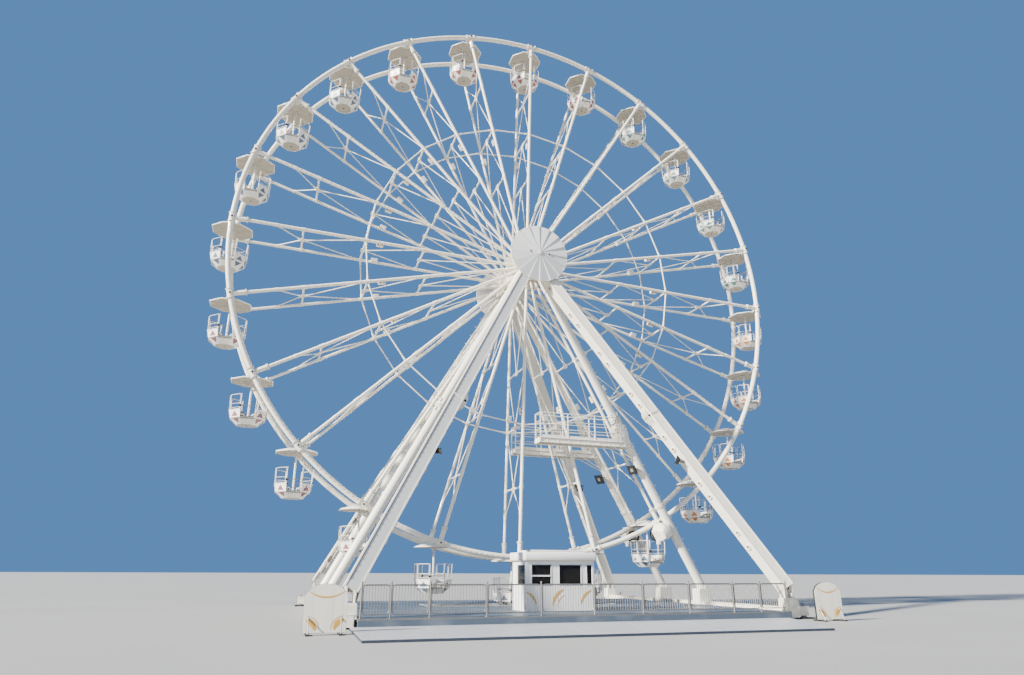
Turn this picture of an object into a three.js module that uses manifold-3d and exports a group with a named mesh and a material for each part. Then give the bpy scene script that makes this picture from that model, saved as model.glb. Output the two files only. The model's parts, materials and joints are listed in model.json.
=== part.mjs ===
// Transportable giant wheel with open gondolas, in millimetres.
// X runs to the right, Y away from the front, Z up. The origin is on the ground under the axle.
import * as THREE from 'three';
import { mergeVertices } from 'three/addons/utils/BufferGeometryUtils.js';
import Module from 'manifold-3d';

// Wheel
const GONDOLAS = 24;
const RING_RADIUS = 15000;
const AXLE_HEIGHT = 17420;
const FIRST_NODE_DEG = -1.467;
const RING_OFFSET = 1180;
const RING_SECTION_RADIUS = 125;
const RING_SEGMENTS = 48;
const PIN_RADIUS = 45;
const PIN_INNER_END = 905;

// Spoke frames: each has a front and a rear spoke in one plane through the axle
const FRAMES_PER_GROUP = 3;
const SPOKE_FRONT_RADIUS = 80;
const SPOKE_REAR_RADIUS = 70;
const SPOKE_HUB_OFFSET = 1280;
const SPOKE_SEAT = 1.87;
const TIE_R = 8650;
const STRUT_RADII = [11700, TIE_R, 5650];
const STRUT_RADIUS = 45;
const TIE_RADIUS = 34;
const TIE_STOP = 8;

// Hub and axle
const FLANGE_INRADIUS = 700;
const FLANGE_THICKNESS = 200;
const DRUM_RADIUS = 420;
const DRUM_SIDES = 12;
const DRUM_HALF_LENGTH = 1385;
const AXLE_RADIUS = 230;
const BORE_CLEARANCE = 0.8;
const HEAD_RADIUS = 560;
const HEAD_INNER = 1450;
const HEAD_OUTER = 3120;
const COVER_RADIUS = 1560;
const COVER_EDGE = 70;
const COVER_RISE = 130;
const COVER_SECTORS = 24;

// Gondola, measured down from its pivot
const TUB_SIDES = 8;
const CANOPY_RADIUS = 1000;
const CANOPY_APEX = 130;
const CANOPY_EDGE = -130;
const CANOPY_RIM = 50;
const RAIL_TOP = -910;
const PANEL_TOP = -1600;
const FOLD = -1940;
const TUB_BOTTOM = -2210;
const RAIL_TOP_RADIUS = 910;
const PANEL_TOP_RADIUS = 880;
const FOLD_RADIUS = 800;
const BOTTOM_RADIUS = 495;
const SHELL = 45;
const DOOR_WIDTH = 600;
const RAIL_BAR = 42;
const WINDOW_REACH = 790;
const POLE_RADIUS = 50;
const LUG_OUTER_FACE = 1020;
const LUG_INNER_FACE = 912;
const LUG_HALF_WIDTH = 90;
const LUG_FOOT_HALF = 70;
const LUG_TOP = 100;

// Towers: a box leg and a round mast lean against the axle's head on each side
const LEG_TOP_Y = 2250;
const LEG_FOOT = new THREE.Vector3(8900, 8100, 1220);
const LEG_WIDTH = 530;
const LEG_DEPTH = 490;
const LEFT_LEG_TURN_DEG = 6;
const LEG_PARTING = 5;
const KNUCKLE_PLATE = 80;
const KNUCKLE_SPREAD = 150;
const KNUCKLE_HALF_DEPTH = 190;
const KNUCKLE_RISE = 200;
const FOOT_PLATE_HALF = 230;
const FOOT_PLATE = 60;
const MAST_RADIUS = 215;
const MAST_TOP = new THREE.Vector3(295, 1850, 17200);
const MAST_FOOT = new THREE.Vector3(9070, 1850, 980);
const MAST_FLANGE_RADIUS = 300;
const MAST_FLANGE_HALF = 90;
const MAST_FLANGE_Z = 9220;
const MAST_SIDES = 10;
const MAST_PEDESTAL = { left: 8660, right: 9340, halfDepth: 320, top: 980 };
const MAST_PLATE_HALF = 310;

// Platforms and drives
const PLATFORM = { left: 300, right: 5220, inner: 1475, outer: 2225, top: 8035, beam: 250 };
const GUARD_HEIGHT = 1255;
const GUARD_INSET = 40;
const GUARD_POST = 50;
const GUARD_POSTS = [320, 1790, 3260, 4720];
const GUARD_RAIL = 40;
const DRIVE_DEG = -63.1;
const TYRE_RADIUS = 320;
const TYRE_WIDTH = 230;
const TYRE_SIDES = 16;
const DRIVE_SHAFT_RADIUS = 70;
const HOUSING = { inner: 1400, shoulder: 1980, outer: 2260, taper: 0.62 };
const HOUSING_OUTLINE = [
  [-310, -320], [220, -230], [550, 10], [350, 490], [190, 550], [-330, 530], [-620, 170], [-570, -90],
];
const RUNNING_GAP = 6;

// Ground frame
const CROSS_BEAM_X = 8950;
const CROSS_BEAM_WIDTH = 460;
const CROSS_BEAM_TOP = 460;
const CROSS_BEAM_BOTTOM = 60;
const CROSS_BEAM_END = 8400;
const PEDESTAL_TOP = 760;
const PEDESTAL_BOTTOM = 300;
const PEDESTAL_HALF_DEPTH = 260;
const PEDESTAL_REACH = 60;
const JACK_REACH = 9800;
const JACK_ARM_HALF = 150;
const JACK_ARM_BOTTOM = 120;
const JACK_ARM_LAP = 50;
const JACK_LEG = [-260, -40];
const JACK_LEG_HALF = 110;
const JACK_LEG_TOP = 300;
const JACK_PAD = [-450, 150];
const JACK_PAD_HALF = 300;
const JACK_PAD_TOP = 60;
const SHOE_INSET = 30;
const SHOE_HALF = 200;
const SHOE_TOP = 70;
const GROUND_RAIL_Y = 2200;
const GROUND_RAIL_HALF = 150;
const GROUND_TIE_HALF = 200;
const GROUND_TIE_TOP = 55;

// Deck, fence, booth and boards
const DECK_TOP = 320;
const DECK_PLATE = 90;
const DECK_HALF = 8640;
const DECK_FRONT = 8600;
const DECK_REAR = 5600;
const CURB_WIDTH = 120;
const CURB_LAP = 10;
const BEARER_INSET = 40;
const DECK_BEARERS = [-5200, -3200, 3600];
const TROUGH_HALF_X = 4600;
const TROUGH_HALF_Y = 1060;
const APRON_TOP = 80;
const APRON_OUTLINE = [[-8900, -8600], [8500, -8600], [6300, -13350], [-9050, -13000]];
const FENCE_Y = 8500;
const FENCE_HEIGHT = 1080;
const FENCE_POST_HALF = 28;
const FENCE_POST_RISE = 60;
const FENCE_RAIL_HALF = 18;
const FENCE_LOW_RAIL = 130;
const FENCE_TOP_RAIL = 40;
const FENCE_POSTS = [-8560, -7580, -6240, -4210, -2170, -70, 1950, 3970, 5990, 7280, 8560];
const BOOTH = { left: -1840, right: 1140, front: -6000, rear: -4400, top: 2220 };
const BOOTH_WALL = 70;
const BOOTH_SILL = 1000;
const BOOTH_LINTEL = 160;
const BOOTH_WINDOWS = [[-1590, -770], [-400, 550], [820, 1060]];
const SIDE_WINDOW = [150, 1050];
const BOOTH_DOOR = [-1000, -150];
const BOOTH_DOOR_SILL = 60;
const ROOF_OVERHANG = 120;
const ROOF_EDGE = 330;
const ROOF_BOX = { left: -1550, right: 760, front: -5900, rear: -4500 };
const ROOF_HEIGHT = 420;
const SIGN_WIDTH = 1280;
const SIGN_HEIGHT = 1450;
const SIGN_HEAD = 330;
const SIGN_HEAD_SHARE = 0.92;
const SIGN_HEAD_DEG = [15, 165];
const SIGN_HEAD_STEPS = 8;
const SIGN_FOOT_CLEAR = 60;
const SIGN_HALF_THICK = 45;
const SIGN_FOOT = { inset: 160, half: 60, reach: 330, top: 80 };
const SIGN_LEFT_AT = [-9820, -10200];
const SIGN_RIGHT_AT = [9600, -9600];

// Clearances between pieces, and how far a cutting tool runs past what it cuts
const SEAT_GAP = 0.4;
const FIT_GAP = 1;
const PAST = 50;
const TOWER_REACH = 2500;

const AXIS_X = new THREE.Vector3(1, 0, 0);
const AXIS_Y = new THREE.Vector3(0, 1, 0);
const STEP_DEG = 360 / GONDOLAS;
const TUB_TURN_DEG = 180 / TUB_SIDES;

const wasm = await Module();
wasm.setup();

const paint = {
  white: new THREE.MeshStandardMaterial({ color: 0xf1eee4, roughness: 0.35, metalness: 0.1 }),
  cream: new THREE.MeshStandardMaterial({ color: 0xeae4d2, roughness: 0.4, metalness: 0.1 }),
  cover: new THREE.MeshStandardMaterial({ color: 0xdcded7, roughness: 0.5, metalness: 0.05 }),
  steel: new THREE.MeshStandardMaterial({ color: 0xa9abad, roughness: 0.35, metalness: 0.8 }),
  deck: new THREE.MeshStandardMaterial({ color: 0x8b98a5, roughness: 0.55, metalness: 0.3 }),
  apron: new THREE.MeshStandardMaterial({ color: 0xc9ccd0, roughness: 0.5, metalness: 0.3 }),
};

function vec(x, y, z) {
  return new THREE.Vector3(x, y, z);
}

// A closed geometry becomes a solid that can be joined and cut
function solidOf(geometry) {
  const bare = new THREE.BufferGeometry();
  bare.setAttribute('position', geometry.getAttribute('position').clone());
  if (geometry.index) bare.setIndex(geometry.index.clone());
  const mergeDistance = 0.01;
  const merged = mergeVertices(bare, mergeDistance);
  const source = merged.index.array;
  const triangles = [];
  for (let i = 0; i < source.length; i += 3) {
    const [a, b, c] = [source[i], source[i + 1], source[i + 2]];
    if (a !== b && b !== c && c !== a) triangles.push(a, b, c);
  }
  const vertProperties = new Float32Array(merged.getAttribute('position').array);
  const triVerts = new Uint32Array(triangles);
  return new wasm.Manifold(new wasm.Mesh({ numProp: 3, vertProperties, triVerts }));
}

function geometryOf(solid) {
  const mesh = solid.getMesh();
  const geometry = new THREE.BufferGeometry();
  geometry.setAttribute('position', new THREE.BufferAttribute(new Float32Array(mesh.vertProperties), 3));
  geometry.setIndex(new THREE.BufferAttribute(new Uint32Array(mesh.triVerts), 1));
  return geometry;
}

function fuse(geometries) {
  return geometryOf(geometries.map(solidOf).reduce((whole, part) => whole.add(part)));
}

function cut(geometry, tools) {
  return geometryOf(tools.map(solidOf).reduce((rest, tool) => rest.subtract(tool), solidOf(geometry)));
}

// A box given by its two opposite corners
function block(x0, y0, z0, x1, y1, z1) {
  const geometry = new THREE.BoxGeometry(x1 - x0, y1 - y0, z1 - z0);
  return geometry.translate((x0 + x1) / 2, (y0 + y1) / 2, (z0 + z1) / 2);
}

// A post that stands on z0, with the same half width along X and Y
function post(x, y, half, z0, z1) {
  return block(x - half, y - half, z0, x + half, y + half, z1);
}

// A round bar with few sides between two points; a flat side faces the given direction
function bar(from, to, radius, sides = 6, facing = AXIS_Y) {
  const along = to.clone().sub(from);
  const length = along.length();
  along.normalize();
  const side = facing.clone().addScaledVector(along, -facing.dot(along)).normalize();
  const across = new THREE.Vector3().crossVectors(side, along);
  const corners = polygon(radius, sides, 90 - 180 / sides).map(([x, y]) => new THREE.Vector2(x, y));
  const shape = new THREE.Shape(corners);
  const geometry = new THREE.ExtrudeGeometry(shape, { depth: length, bevelEnabled: false });
  return geometry.applyMatrix4(new THREE.Matrix4().makeBasis(across, side, along).setPosition(from));
}

// A rectangular beam between two points, its width along the given direction
function beam(from, to, width, depth, widthAxis) {
  const along = to.clone().sub(from);
  const length = along.length();
  along.normalize();
  const across = widthAxis.clone().addScaledVector(along, -widthAxis.dot(along)).normalize();
  const normal = new THREE.Vector3().crossVectors(across, along);
  const geometry = new THREE.BoxGeometry(width, length, depth);
  const middle = from.clone().add(to).multiplyScalar(0.5);
  return geometry.applyMatrix4(new THREE.Matrix4().makeBasis(across, along, normal).setPosition(middle));
}

// An outline of [radius, height] points turned about the vertical axis
function turned(points, segments, startDeg = 0) {
  const profile = points.map(([radius, height]) => new THREE.Vector2(radius, height));
  const start = THREE.MathUtils.degToRad(startDeg);
  return new THREE.LatheGeometry(profile, segments, start).rotateX(Math.PI / 2);
}

function outlineShape(points, holes) {
  const shape = new THREE.Shape(points.map(([x, y]) => new THREE.Vector2(x, y)));
  for (const hole of holes) {
    shape.holes.push(new THREE.Path(hole.map(([x, y]) => new THREE.Vector2(x, y))));
  }
  return shape;
}

// An outline in the XZ plane pushed along Y from y0 to y1
function plate(points, y0, y1, holes = []) {
  const options = { depth: y1 - y0, bevelEnabled: false };
  const geometry = new THREE.ExtrudeGeometry(outlineShape(points, holes), options);
  return geometry.rotateX(Math.PI / 2).translate(0, y1, 0);
}

// An outline in the XY plane pushed up from z0 to z1
function slab(points, z0, z1, holes = []) {
  const options = { depth: z1 - z0, bevelEnabled: false };
  const geometry = new THREE.ExtrudeGeometry(outlineShape(points, holes), options);
  return geometry.translate(0, 0, z0);
}

function polygon(radius, sides, startDeg, cx = 0, cz = 0) {
  const corners = [];
  for (let i = 0; i < sides; i += 1) {
    const angle = THREE.MathUtils.degToRad(startDeg + (i * 360) / sides);
    corners.push([cx + radius * Math.cos(angle), cz + radius * Math.sin(angle)]);
  }
  return corners;
}

function rectangle(x0, y0, x1, y1) {
  return [[x0, y0], [x1, y0], [x1, y1], [x0, y1]];
}

// The same geometry mirrored by a sign for X and one for Y, its faces turned out again
function mirrored(geometry, sx, sy) {
  const copy = geometry.clone().scale(sx, sy, 1);
  if (sx * sy > 0) return copy;
  const index = copy.index.array;
  for (let i = 0; i < index.length; i += 3) [index[i], index[i + 1]] = [index[i + 1], index[i]];
  return copy;
}

const wheel = new THREE.Group();

function addPiece(name, geometry, material, parent = wheel) {
  const mesh = new THREE.Mesh(geometry, material);
  mesh.name = name;
  parent.add(mesh);
  return mesh;
}

function nodeAngle(index) {
  return THREE.MathUtils.degToRad(FIRST_NODE_DEG + index * STEP_DEG);
}

// A point of the wheel, from its radius, its angle and its place along the axle
function onWheel(radius, angle, y) {
  return vec(radius * Math.cos(angle), y, radius * Math.sin(angle));
}

// Half the distance between the front and rear spokes at a radius
const SPOKE_START_R = FLANGE_INRADIUS + SPOKE_SEAT;
const SPOKE_END_R = RING_RADIUS - RING_SECTION_RADIUS - SEAT_GAP;
function spokeOffset(radius) {
  const share = (radius - SPOKE_START_R) / (SPOKE_END_R - SPOKE_START_R);
  return SPOKE_HUB_OFFSET + (RING_OFFSET - SPOKE_HUB_OFFSET) * share;
}

const RING_SECTION_SIDES = 6;
function ringGeometry(side) {
  const startDeg = 90 - FIRST_NODE_DEG + 180 / RING_SEGMENTS;
  const section = polygon(RING_SECTION_RADIUS, RING_SECTION_SIDES, 0, RING_RADIUS, side * RING_OFFSET);
  for (const corner of section) corner[0] /= Math.cos(Math.PI / RING_SEGMENTS);
  section.push(section[0]);
  const ring = turned(section, RING_SEGMENTS, startDeg).rotateX(-Math.PI / 2);
  const parts = [ring];
  for (let i = 0; i < GONDOLAS; i += 1) {
    const angle = nodeAngle(i);
    const root = onWheel(RING_RADIUS, angle, side * RING_OFFSET);
    const tip = onWheel(RING_RADIUS, angle, side * PIN_INNER_END);
    parts.push(bar(root, tip, PIN_RADIUS, 6, AXIS_X));
  }
  return fuse(parts);
}

function spokeFrameParts(angle) {
  const at = (radius, side) => onWheel(radius, angle, side * spokeOffset(radius));
  const radial = onWheel(1, angle, 0);
  const parts = [];
  for (const side of [-1, 1]) {
    const radius = side < 0 ? SPOKE_FRONT_RADIUS : SPOKE_REAR_RADIUS;
    parts.push(bar(at(SPOKE_START_R, side), at(SPOKE_END_R, side), radius, 6));
  }
  for (const radius of STRUT_RADII) {
    parts.push(bar(at(radius, -1), at(radius, 1), STRUT_RADIUS, 4, radial));
  }
  return parts;
}

// Thin ties run from frame to frame; the last one stops just short of the next group
function spokeGroupGeometry() {
  const parts = [];
  const step = THREE.MathUtils.degToRad(STEP_DEG);
  for (let i = 0; i < FRAMES_PER_GROUP; i += 1) {
    parts.push(...spokeFrameParts(i * step));
    for (const side of [-1, 1]) {
      const y = side * spokeOffset(TIE_R);
      const from = onWheel(TIE_R, i * step, y);
      const to = onWheel(TIE_R, (i + 1) * step, y);
      if (i === FRAMES_PER_GROUP - 1) {
        const stop = 1 - (SPOKE_FRONT_RADIUS + TIE_STOP) / from.distanceTo(to);
        to.lerpVectors(from, to, stop);
      }
      parts.push(bar(from, to, TIE_RADIUS, 4));
    }
  }
  return fuse(parts);
}

function hubGeometry() {
  const half = Math.PI / GONDOLAS;
  const flangeRadius = FLANGE_INRADIUS / Math.cos(half);
  const flange = polygon(flangeRadius, GONDOLAS, FIRST_NODE_DEG + STEP_DEG / 2);
  const boreRadius = (AXLE_RADIUS + BORE_CLEARANCE) / Math.cos(half);
  const bore = polygon(boreRadius, GONDOLAS, STEP_DEG / 2);
  const parts = [plate(polygon(DRUM_RADIUS, DRUM_SIDES, 0), -DRUM_HALF_LENGTH, DRUM_HALF_LENGTH)];
  for (const side of [-1, 1]) {
    const y = side * SPOKE_HUB_OFFSET;
    parts.push(plate(flange, y - FLANGE_THICKNESS / 2, y + FLANGE_THICKNESS / 2));
  }
  return cut(fuse(parts), [plate(bore, -DRUM_HALF_LENGTH - PAST, DRUM_HALF_LENGTH + PAST)]);
}

function axleGeometry() {
  const parts = [plate(polygon(AXLE_RADIUS, GONDOLAS, 0), -HEAD_INNER - PAST, HEAD_INNER + PAST)];
  parts.push(plate(polygon(HEAD_RADIUS, GONDOLAS, 0), HEAD_INNER, HEAD_OUTER));
  parts.push(plate(polygon(HEAD_RADIUS, GONDOLAS, 0), -HEAD_OUTER, -HEAD_INNER));
  return fuse(parts);
}

// A shallow round cover, flat at the back and rising to its middle at the front
function coverGeometry() {
  const back = HEAD_OUTER + SEAT_GAP;
  const outline = [[0, back], [COVER_RADIUS, back], [COVER_RADIUS, back + COVER_EDGE]];
  outline.push([0, back + COVER_EDGE + COVER_RISE]);
  return fuse([turned(outline, COVER_SECTORS).rotateX(-Math.PI / 2)]);
}

// An eight-sided tub with a thin band above it, opened for the doors and between the rails;
// its inner wall slopes in like the bench that runs round it
function tubGeometry() {
  const shell = turned([
    [0, TUB_BOTTOM], [BOTTOM_RADIUS, TUB_BOTTOM], [FOLD_RADIUS, FOLD], [PANEL_TOP_RADIUS, PANEL_TOP],
    [RAIL_TOP_RADIUS, RAIL_TOP], [RAIL_TOP_RADIUS - RAIL_BAR, RAIL_TOP],
    [PANEL_TOP_RADIUS - RAIL_BAR, PANEL_TOP],
    [BOTTOM_RADIUS - SHELL / 2, TUB_BOTTOM + SHELL], [0, TUB_BOTTOM + SHELL],
  ], TUB_SIDES, TUB_TURN_DEG);
  const half = DOOR_WIDTH / 2;
  const reach = CANOPY_RADIUS;
  const doors = block(-half, -reach, FOLD, half, reach, RAIL_TOP + PAST);
  const windows = block(-reach, -WINDOW_REACH, PANEL_TOP, reach, WINDOW_REACH, RAIL_TOP - RAIL_BAR);
  return cut(shell, [doors, windows]);
}

// A lug hangs on the ring's pin and holds the canopy's edge
function lugGeometry(side) {
  const y0 = Math.min(side * LUG_OUTER_FACE, side * LUG_INNER_FACE);
  const y1 = Math.max(side * LUG_OUTER_FACE, side * LUG_INNER_FACE);
  const boreRadius = (PIN_RADIUS + BORE_CLEARANCE) / Math.cos(Math.PI / 6);
  const foot = CANOPY_EDGE - CANOPY_RIM;
  const outline = [[-LUG_FOOT_HALF, foot], [LUG_FOOT_HALF, foot], [LUG_HALF_WIDTH, 0], [0, LUG_TOP],
    [-LUG_HALF_WIDTH, 0]];
  return plate(outline, y0, y1, [polygon(boreRadius, 6, 0)]);
}

function gondolaGeometry() {
  const underside = CANOPY_EDGE - CANOPY_RIM;
  const canopy = turned([
    [0, underside], [CANOPY_RADIUS, underside], [CANOPY_RADIUS, CANOPY_EDGE], [0, CANOPY_APEX],
  ], TUB_SIDES, TUB_TURN_DEG);
  const pole = bar(vec(0, 0, TUB_BOTTOM + SHELL / 2), vec(0, 0, CANOPY_EDGE), POLE_RADIUS, 4);
  return fuse([canopy, pole, tubGeometry(), lugGeometry(-1), lugGeometry(1)]);
}

// The knuckle joins the foot of a leg to the pedestal on the cross beam
function kneeParts(foot) {
  const seat = PEDESTAL_TOP + SEAT_GAP;
  const parts = [post(foot.x, foot.y, FOOT_PLATE_HALF, seat, seat + FOOT_PLATE)];
  for (const shift of [-KNUCKLE_SPREAD, KNUCKLE_SPREAD]) {
    const x = foot.x + shift - KNUCKLE_PLATE / 2;
    parts.push(block(x, foot.y - KNUCKLE_HALF_DEPTH, seat, x + KNUCKLE_PLATE, foot.y + KNUCKLE_HALF_DEPTH,
      foot.z + KNUCKLE_RISE));
  }
  return parts;
}

// A main leg for the corner given by the signs of x and y. The left legs are turned about
// their own length, so that one edge points outwards
function legGeometry(sx, sy) {
  const top = vec(0, sy * LEG_TOP_Y, AXLE_HEIGHT);
  const foot = vec(sx * LEG_FOOT.x, sy * LEG_FOOT.y, LEG_FOOT.z);
  const turn = THREE.MathUtils.degToRad(sx < 0 ? -sy * LEFT_LEG_TURN_DEG : 0);
  const shaft = beam(foot, top, LEG_WIDTH, LEG_DEPTH, vec(Math.cos(turn), Math.sin(turn), 0));
  const reach = TOWER_REACH;
  const head = plate(polygon(HEAD_RADIUS + FIT_GAP, GONDOLAS, 0), -reach * 2, reach * 2);
  const otherSide = block(Math.min(0, -sx * reach), -reach * 2, AXLE_HEIGHT - reach, Math.max(0, -sx * reach),
    reach * 2, AXLE_HEIGHT + reach).translate(sx * LEG_PARTING, 0, 0);
  return fuse([cut(shaft, [head.translate(0, 0, AXLE_HEIGHT), otherSide]), ...kneeParts(foot)]);
}

function mastAt(height) {
  const share = (MAST_TOP.z - height) / (MAST_TOP.z - MAST_FOOT.z);
  return MAST_TOP.clone().lerp(MAST_FOOT, share);
}

function mastRing(z0, z1, radius) {
  return bar(mastAt(z0), mastAt(z1), radius, MAST_SIDES);
}

// A mast leans on the tower head and stands on its own pedestal of the cross beam
function mastGeometry() {
  const seat = MAST_PEDESTAL.top + SEAT_GAP;
  const { x, y } = MAST_FOOT;
  const plateX = (MAST_PEDESTAL.left + MAST_PEDESTAL.right) / 2;
  const parts = [bar(MAST_TOP, MAST_FOOT, MAST_RADIUS, MAST_SIDES)];
  const half = MAST_FLANGE_HALF;
  parts.push(mastRing(MAST_FLANGE_Z + half, MAST_FLANGE_Z - half, MAST_FLANGE_RADIUS));
  parts.push(post(plateX, y, MAST_PLATE_HALF, seat, seat + FOOT_PLATE));
  const head = plate(polygon(HEAD_RADIUS + FIT_GAP, GONDOLAS, 0), 0, 2 * y).translate(0, 0, AXLE_HEIGHT);
  const under = block(0, 0, 0, 2 * x, 2 * y, seat);
  return cut(fuse(parts), [head, under]);
}

// A service platform on a beam whose end is forked round the mast, with a guard rail on three sides
function platformGeometry() {
  const { left, right, inner, outer, top, beam: depth } = PLATFORM;
  const y0 = inner + GUARD_INSET;
  const y1 = outer - GUARD_INSET;
  const railTop = top + GUARD_HEIGHT;
  const half = GUARD_RAIL / 2;
  const lap = PAST / 5;
  const first = GUARD_POSTS[0];
  const last = GUARD_POSTS[GUARD_POSTS.length - 1];
  const parts = [block(left, inner, top - depth, right, outer, top)];
  for (const y of [y0, y1]) {
    for (const x of GUARD_POSTS) parts.push(post(x + half, y, GUARD_POST / 2, top - lap, railTop - lap));
    parts.push(block(first, y - half, railTop - GUARD_RAIL, last + GUARD_RAIL, y + half, railTop));
  }
  const under = railTop - GUARD_RAIL;
  parts.push(block(first - 1, y0 + lap, under - 1, first + GUARD_RAIL + 1, y1 - lap, railTop + 1));
  const room = mastRing(top + GUARD_HEIGHT, top - GUARD_HEIGHT, MAST_RADIUS + FIT_GAP);
  return cut(fuse(parts), [room]);
}

// A plate whose outline shrinks towards its far side, about the middle of the outline
function taperedPlate(points, y0, y1, scale, cx, cz) {
  const geometry = plate(points, y0, y1);
  const position = geometry.getAttribute('position');
  const middle = (y0 + y1) / 2;
  for (let i = 0; i < position.count; i += 1) {
    if (position.getY(i) < middle) continue;
    position.setX(i, cx + (position.getX(i) - cx) * scale);
    position.setZ(i, cz + (position.getZ(i) - cz) * scale);
  }
  return geometry;
}

// A friction drive: a domed housing clamped to the mast, with a tyre that runs on the ring
function driveGeometry() {
  const angle = THREE.MathUtils.degToRad(DRIVE_DEG);
  const ringOutside = (RING_RADIUS + RING_SECTION_RADIUS) / Math.cos(Math.PI / RING_SEGMENTS);
  const centre = onWheel(ringOutside + RUNNING_GAP + TYRE_RADIUS, angle, 0);
  centre.z += AXLE_HEIGHT;
  const y0 = RING_OFFSET - TYRE_WIDTH / 2;
  const y1 = RING_OFFSET + TYRE_WIDTH / 2;
  const { inner, shoulder, outer, taper } = HOUSING;
  const tyre = plate(polygon(TYRE_RADIUS, TYRE_SIDES, 0, centre.x, centre.z), y0, y1);
  const shaftSides = polygon(DRIVE_SHAFT_RADIUS, TUB_SIDES, 0, centre.x, centre.z);
  const shaft = plate(shaftSides, RING_OFFSET, inner + PAST);
  const outline = HOUSING_OUTLINE.map(([x, z]) => [centre.x + x, centre.z + z]);
  const housing = plate(outline, inner, shoulder);
  const dome = taperedPlate(outline, shoulder, outer, taper, centre.x, centre.z);
  const past = 3 * TYRE_RADIUS;
  const room = mastRing(centre.z + past, centre.z - past, MAST_RADIUS + FIT_GAP);
  return cut(fuse([tyre, shaft, housing, dome]), [room]);
}

// A cross beam with its pedestals, corner jacks and the shoes it lies on, for the right side
function crossBeamGeometry() {
  const x0 = CROSS_BEAM_X - CROSS_BEAM_WIDTH / 2;
  const x1 = CROSS_BEAM_X + CROSS_BEAM_WIDTH / 2;
  const parts = [block(x0, -CROSS_BEAM_END, CROSS_BEAM_BOTTOM, x1, CROSS_BEAM_END, CROSS_BEAM_TOP)];
  for (const side of [-1, 1]) {
    const y = side * LEG_FOOT.y;
    parts.push(block(x0 - PEDESTAL_REACH, y - PEDESTAL_HALF_DEPTH, PEDESTAL_BOTTOM, x1 + PEDESTAL_REACH,
      y + PEDESTAL_HALF_DEPTH, PEDESTAL_TOP));
    parts.push(block(x1 - JACK_ARM_LAP, y - JACK_ARM_HALF, JACK_ARM_BOTTOM,
      JACK_REACH, y + JACK_ARM_HALF, CROSS_BEAM_TOP));
    parts.push(block(JACK_REACH + JACK_LEG[0], y - JACK_LEG_HALF, 0,
      JACK_REACH + JACK_LEG[1], y + JACK_LEG_HALF, JACK_LEG_TOP));
    parts.push(block(JACK_REACH + JACK_PAD[0], y - JACK_PAD_HALF, 0, JACK_REACH + JACK_PAD[1], y + JACK_PAD_HALF,
      JACK_PAD_TOP));
    const mast = MAST_PEDESTAL;
    const mastY = side * MAST_FOOT.y;
    parts.push(block(mast.left, mastY - mast.halfDepth, PEDESTAL_BOTTOM, mast.right, mastY + mast.halfDepth,
      mast.top));
    for (const shoeY of [y, side * GROUND_RAIL_Y]) {
      parts.push(block(x0 + SHOE_INSET, shoeY - SHOE_HALF, 0, x1 - SHOE_INSET, shoeY + SHOE_HALF, SHOE_TOP));
    }
  }
  return fuse(parts);
}

// Two ground rails between the cross beams, with a low tie on the ground under the wheel
function groundRailsGeometry() {
  const reach = CROSS_BEAM_X - CROSS_BEAM_WIDTH / 2 - SEAT_GAP;
  const railTop = DECK_TOP - DECK_PLATE - SEAT_GAP;
  const parts = [block(-GROUND_TIE_HALF, -GROUND_RAIL_Y, 0, GROUND_TIE_HALF, GROUND_RAIL_Y, GROUND_TIE_TOP)];
  for (const y of [-GROUND_RAIL_Y, GROUND_RAIL_Y]) {
    parts.push(block(-reach, y - GROUND_RAIL_HALF, 0, reach, y + GROUND_RAIL_HALF, railTop));
  }
  return fuse(parts);
}

function deckGeometry() {
  const outline = rectangle(-DECK_HALF, -DECK_FRONT, DECK_HALF, DECK_REAR);
  const trough = rectangle(-TROUGH_HALF_X, -TROUGH_HALF_Y, TROUGH_HALF_X, TROUGH_HALF_Y);
  const parts = [slab(outline, DECK_TOP - DECK_PLATE, DECK_TOP, [trough])];
  const under = DECK_TOP - CURB_LAP;
  const inside = DECK_HALF - BEARER_INSET;
  parts.push(block(-DECK_HALF, -DECK_FRONT, 0, DECK_HALF, -DECK_FRONT + CURB_WIDTH, under));
  parts.push(block(-DECK_HALF, DECK_REAR - CURB_WIDTH, 0, DECK_HALF, DECK_REAR, under));
  for (const y of DECK_BEARERS) {
    parts.push(block(-inside, y - CURB_WIDTH / 2, 0, inside, y + CURB_WIDTH / 2, under));
  }
  return fuse(parts);
}

function fenceGeometry() {
  const foot = DECK_TOP + SEAT_GAP;
  const top = DECK_TOP + FENCE_HEIGHT;
  const half = FENCE_RAIL_HALF;
  const parts = FENCE_POSTS.map((x) => post(x, -FENCE_Y, FENCE_POST_HALF, foot, top + FENCE_POST_RISE));
  const left = FENCE_POSTS[0];
  const right = FENCE_POSTS[FENCE_POSTS.length - 1];
  for (const z of [foot + FENCE_LOW_RAIL, top - FENCE_TOP_RAIL]) {
    parts.push(block(left, -FENCE_Y - half, z - half, right, -FENCE_Y + half, z + half));
  }
  return fuse(parts);
}

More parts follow.
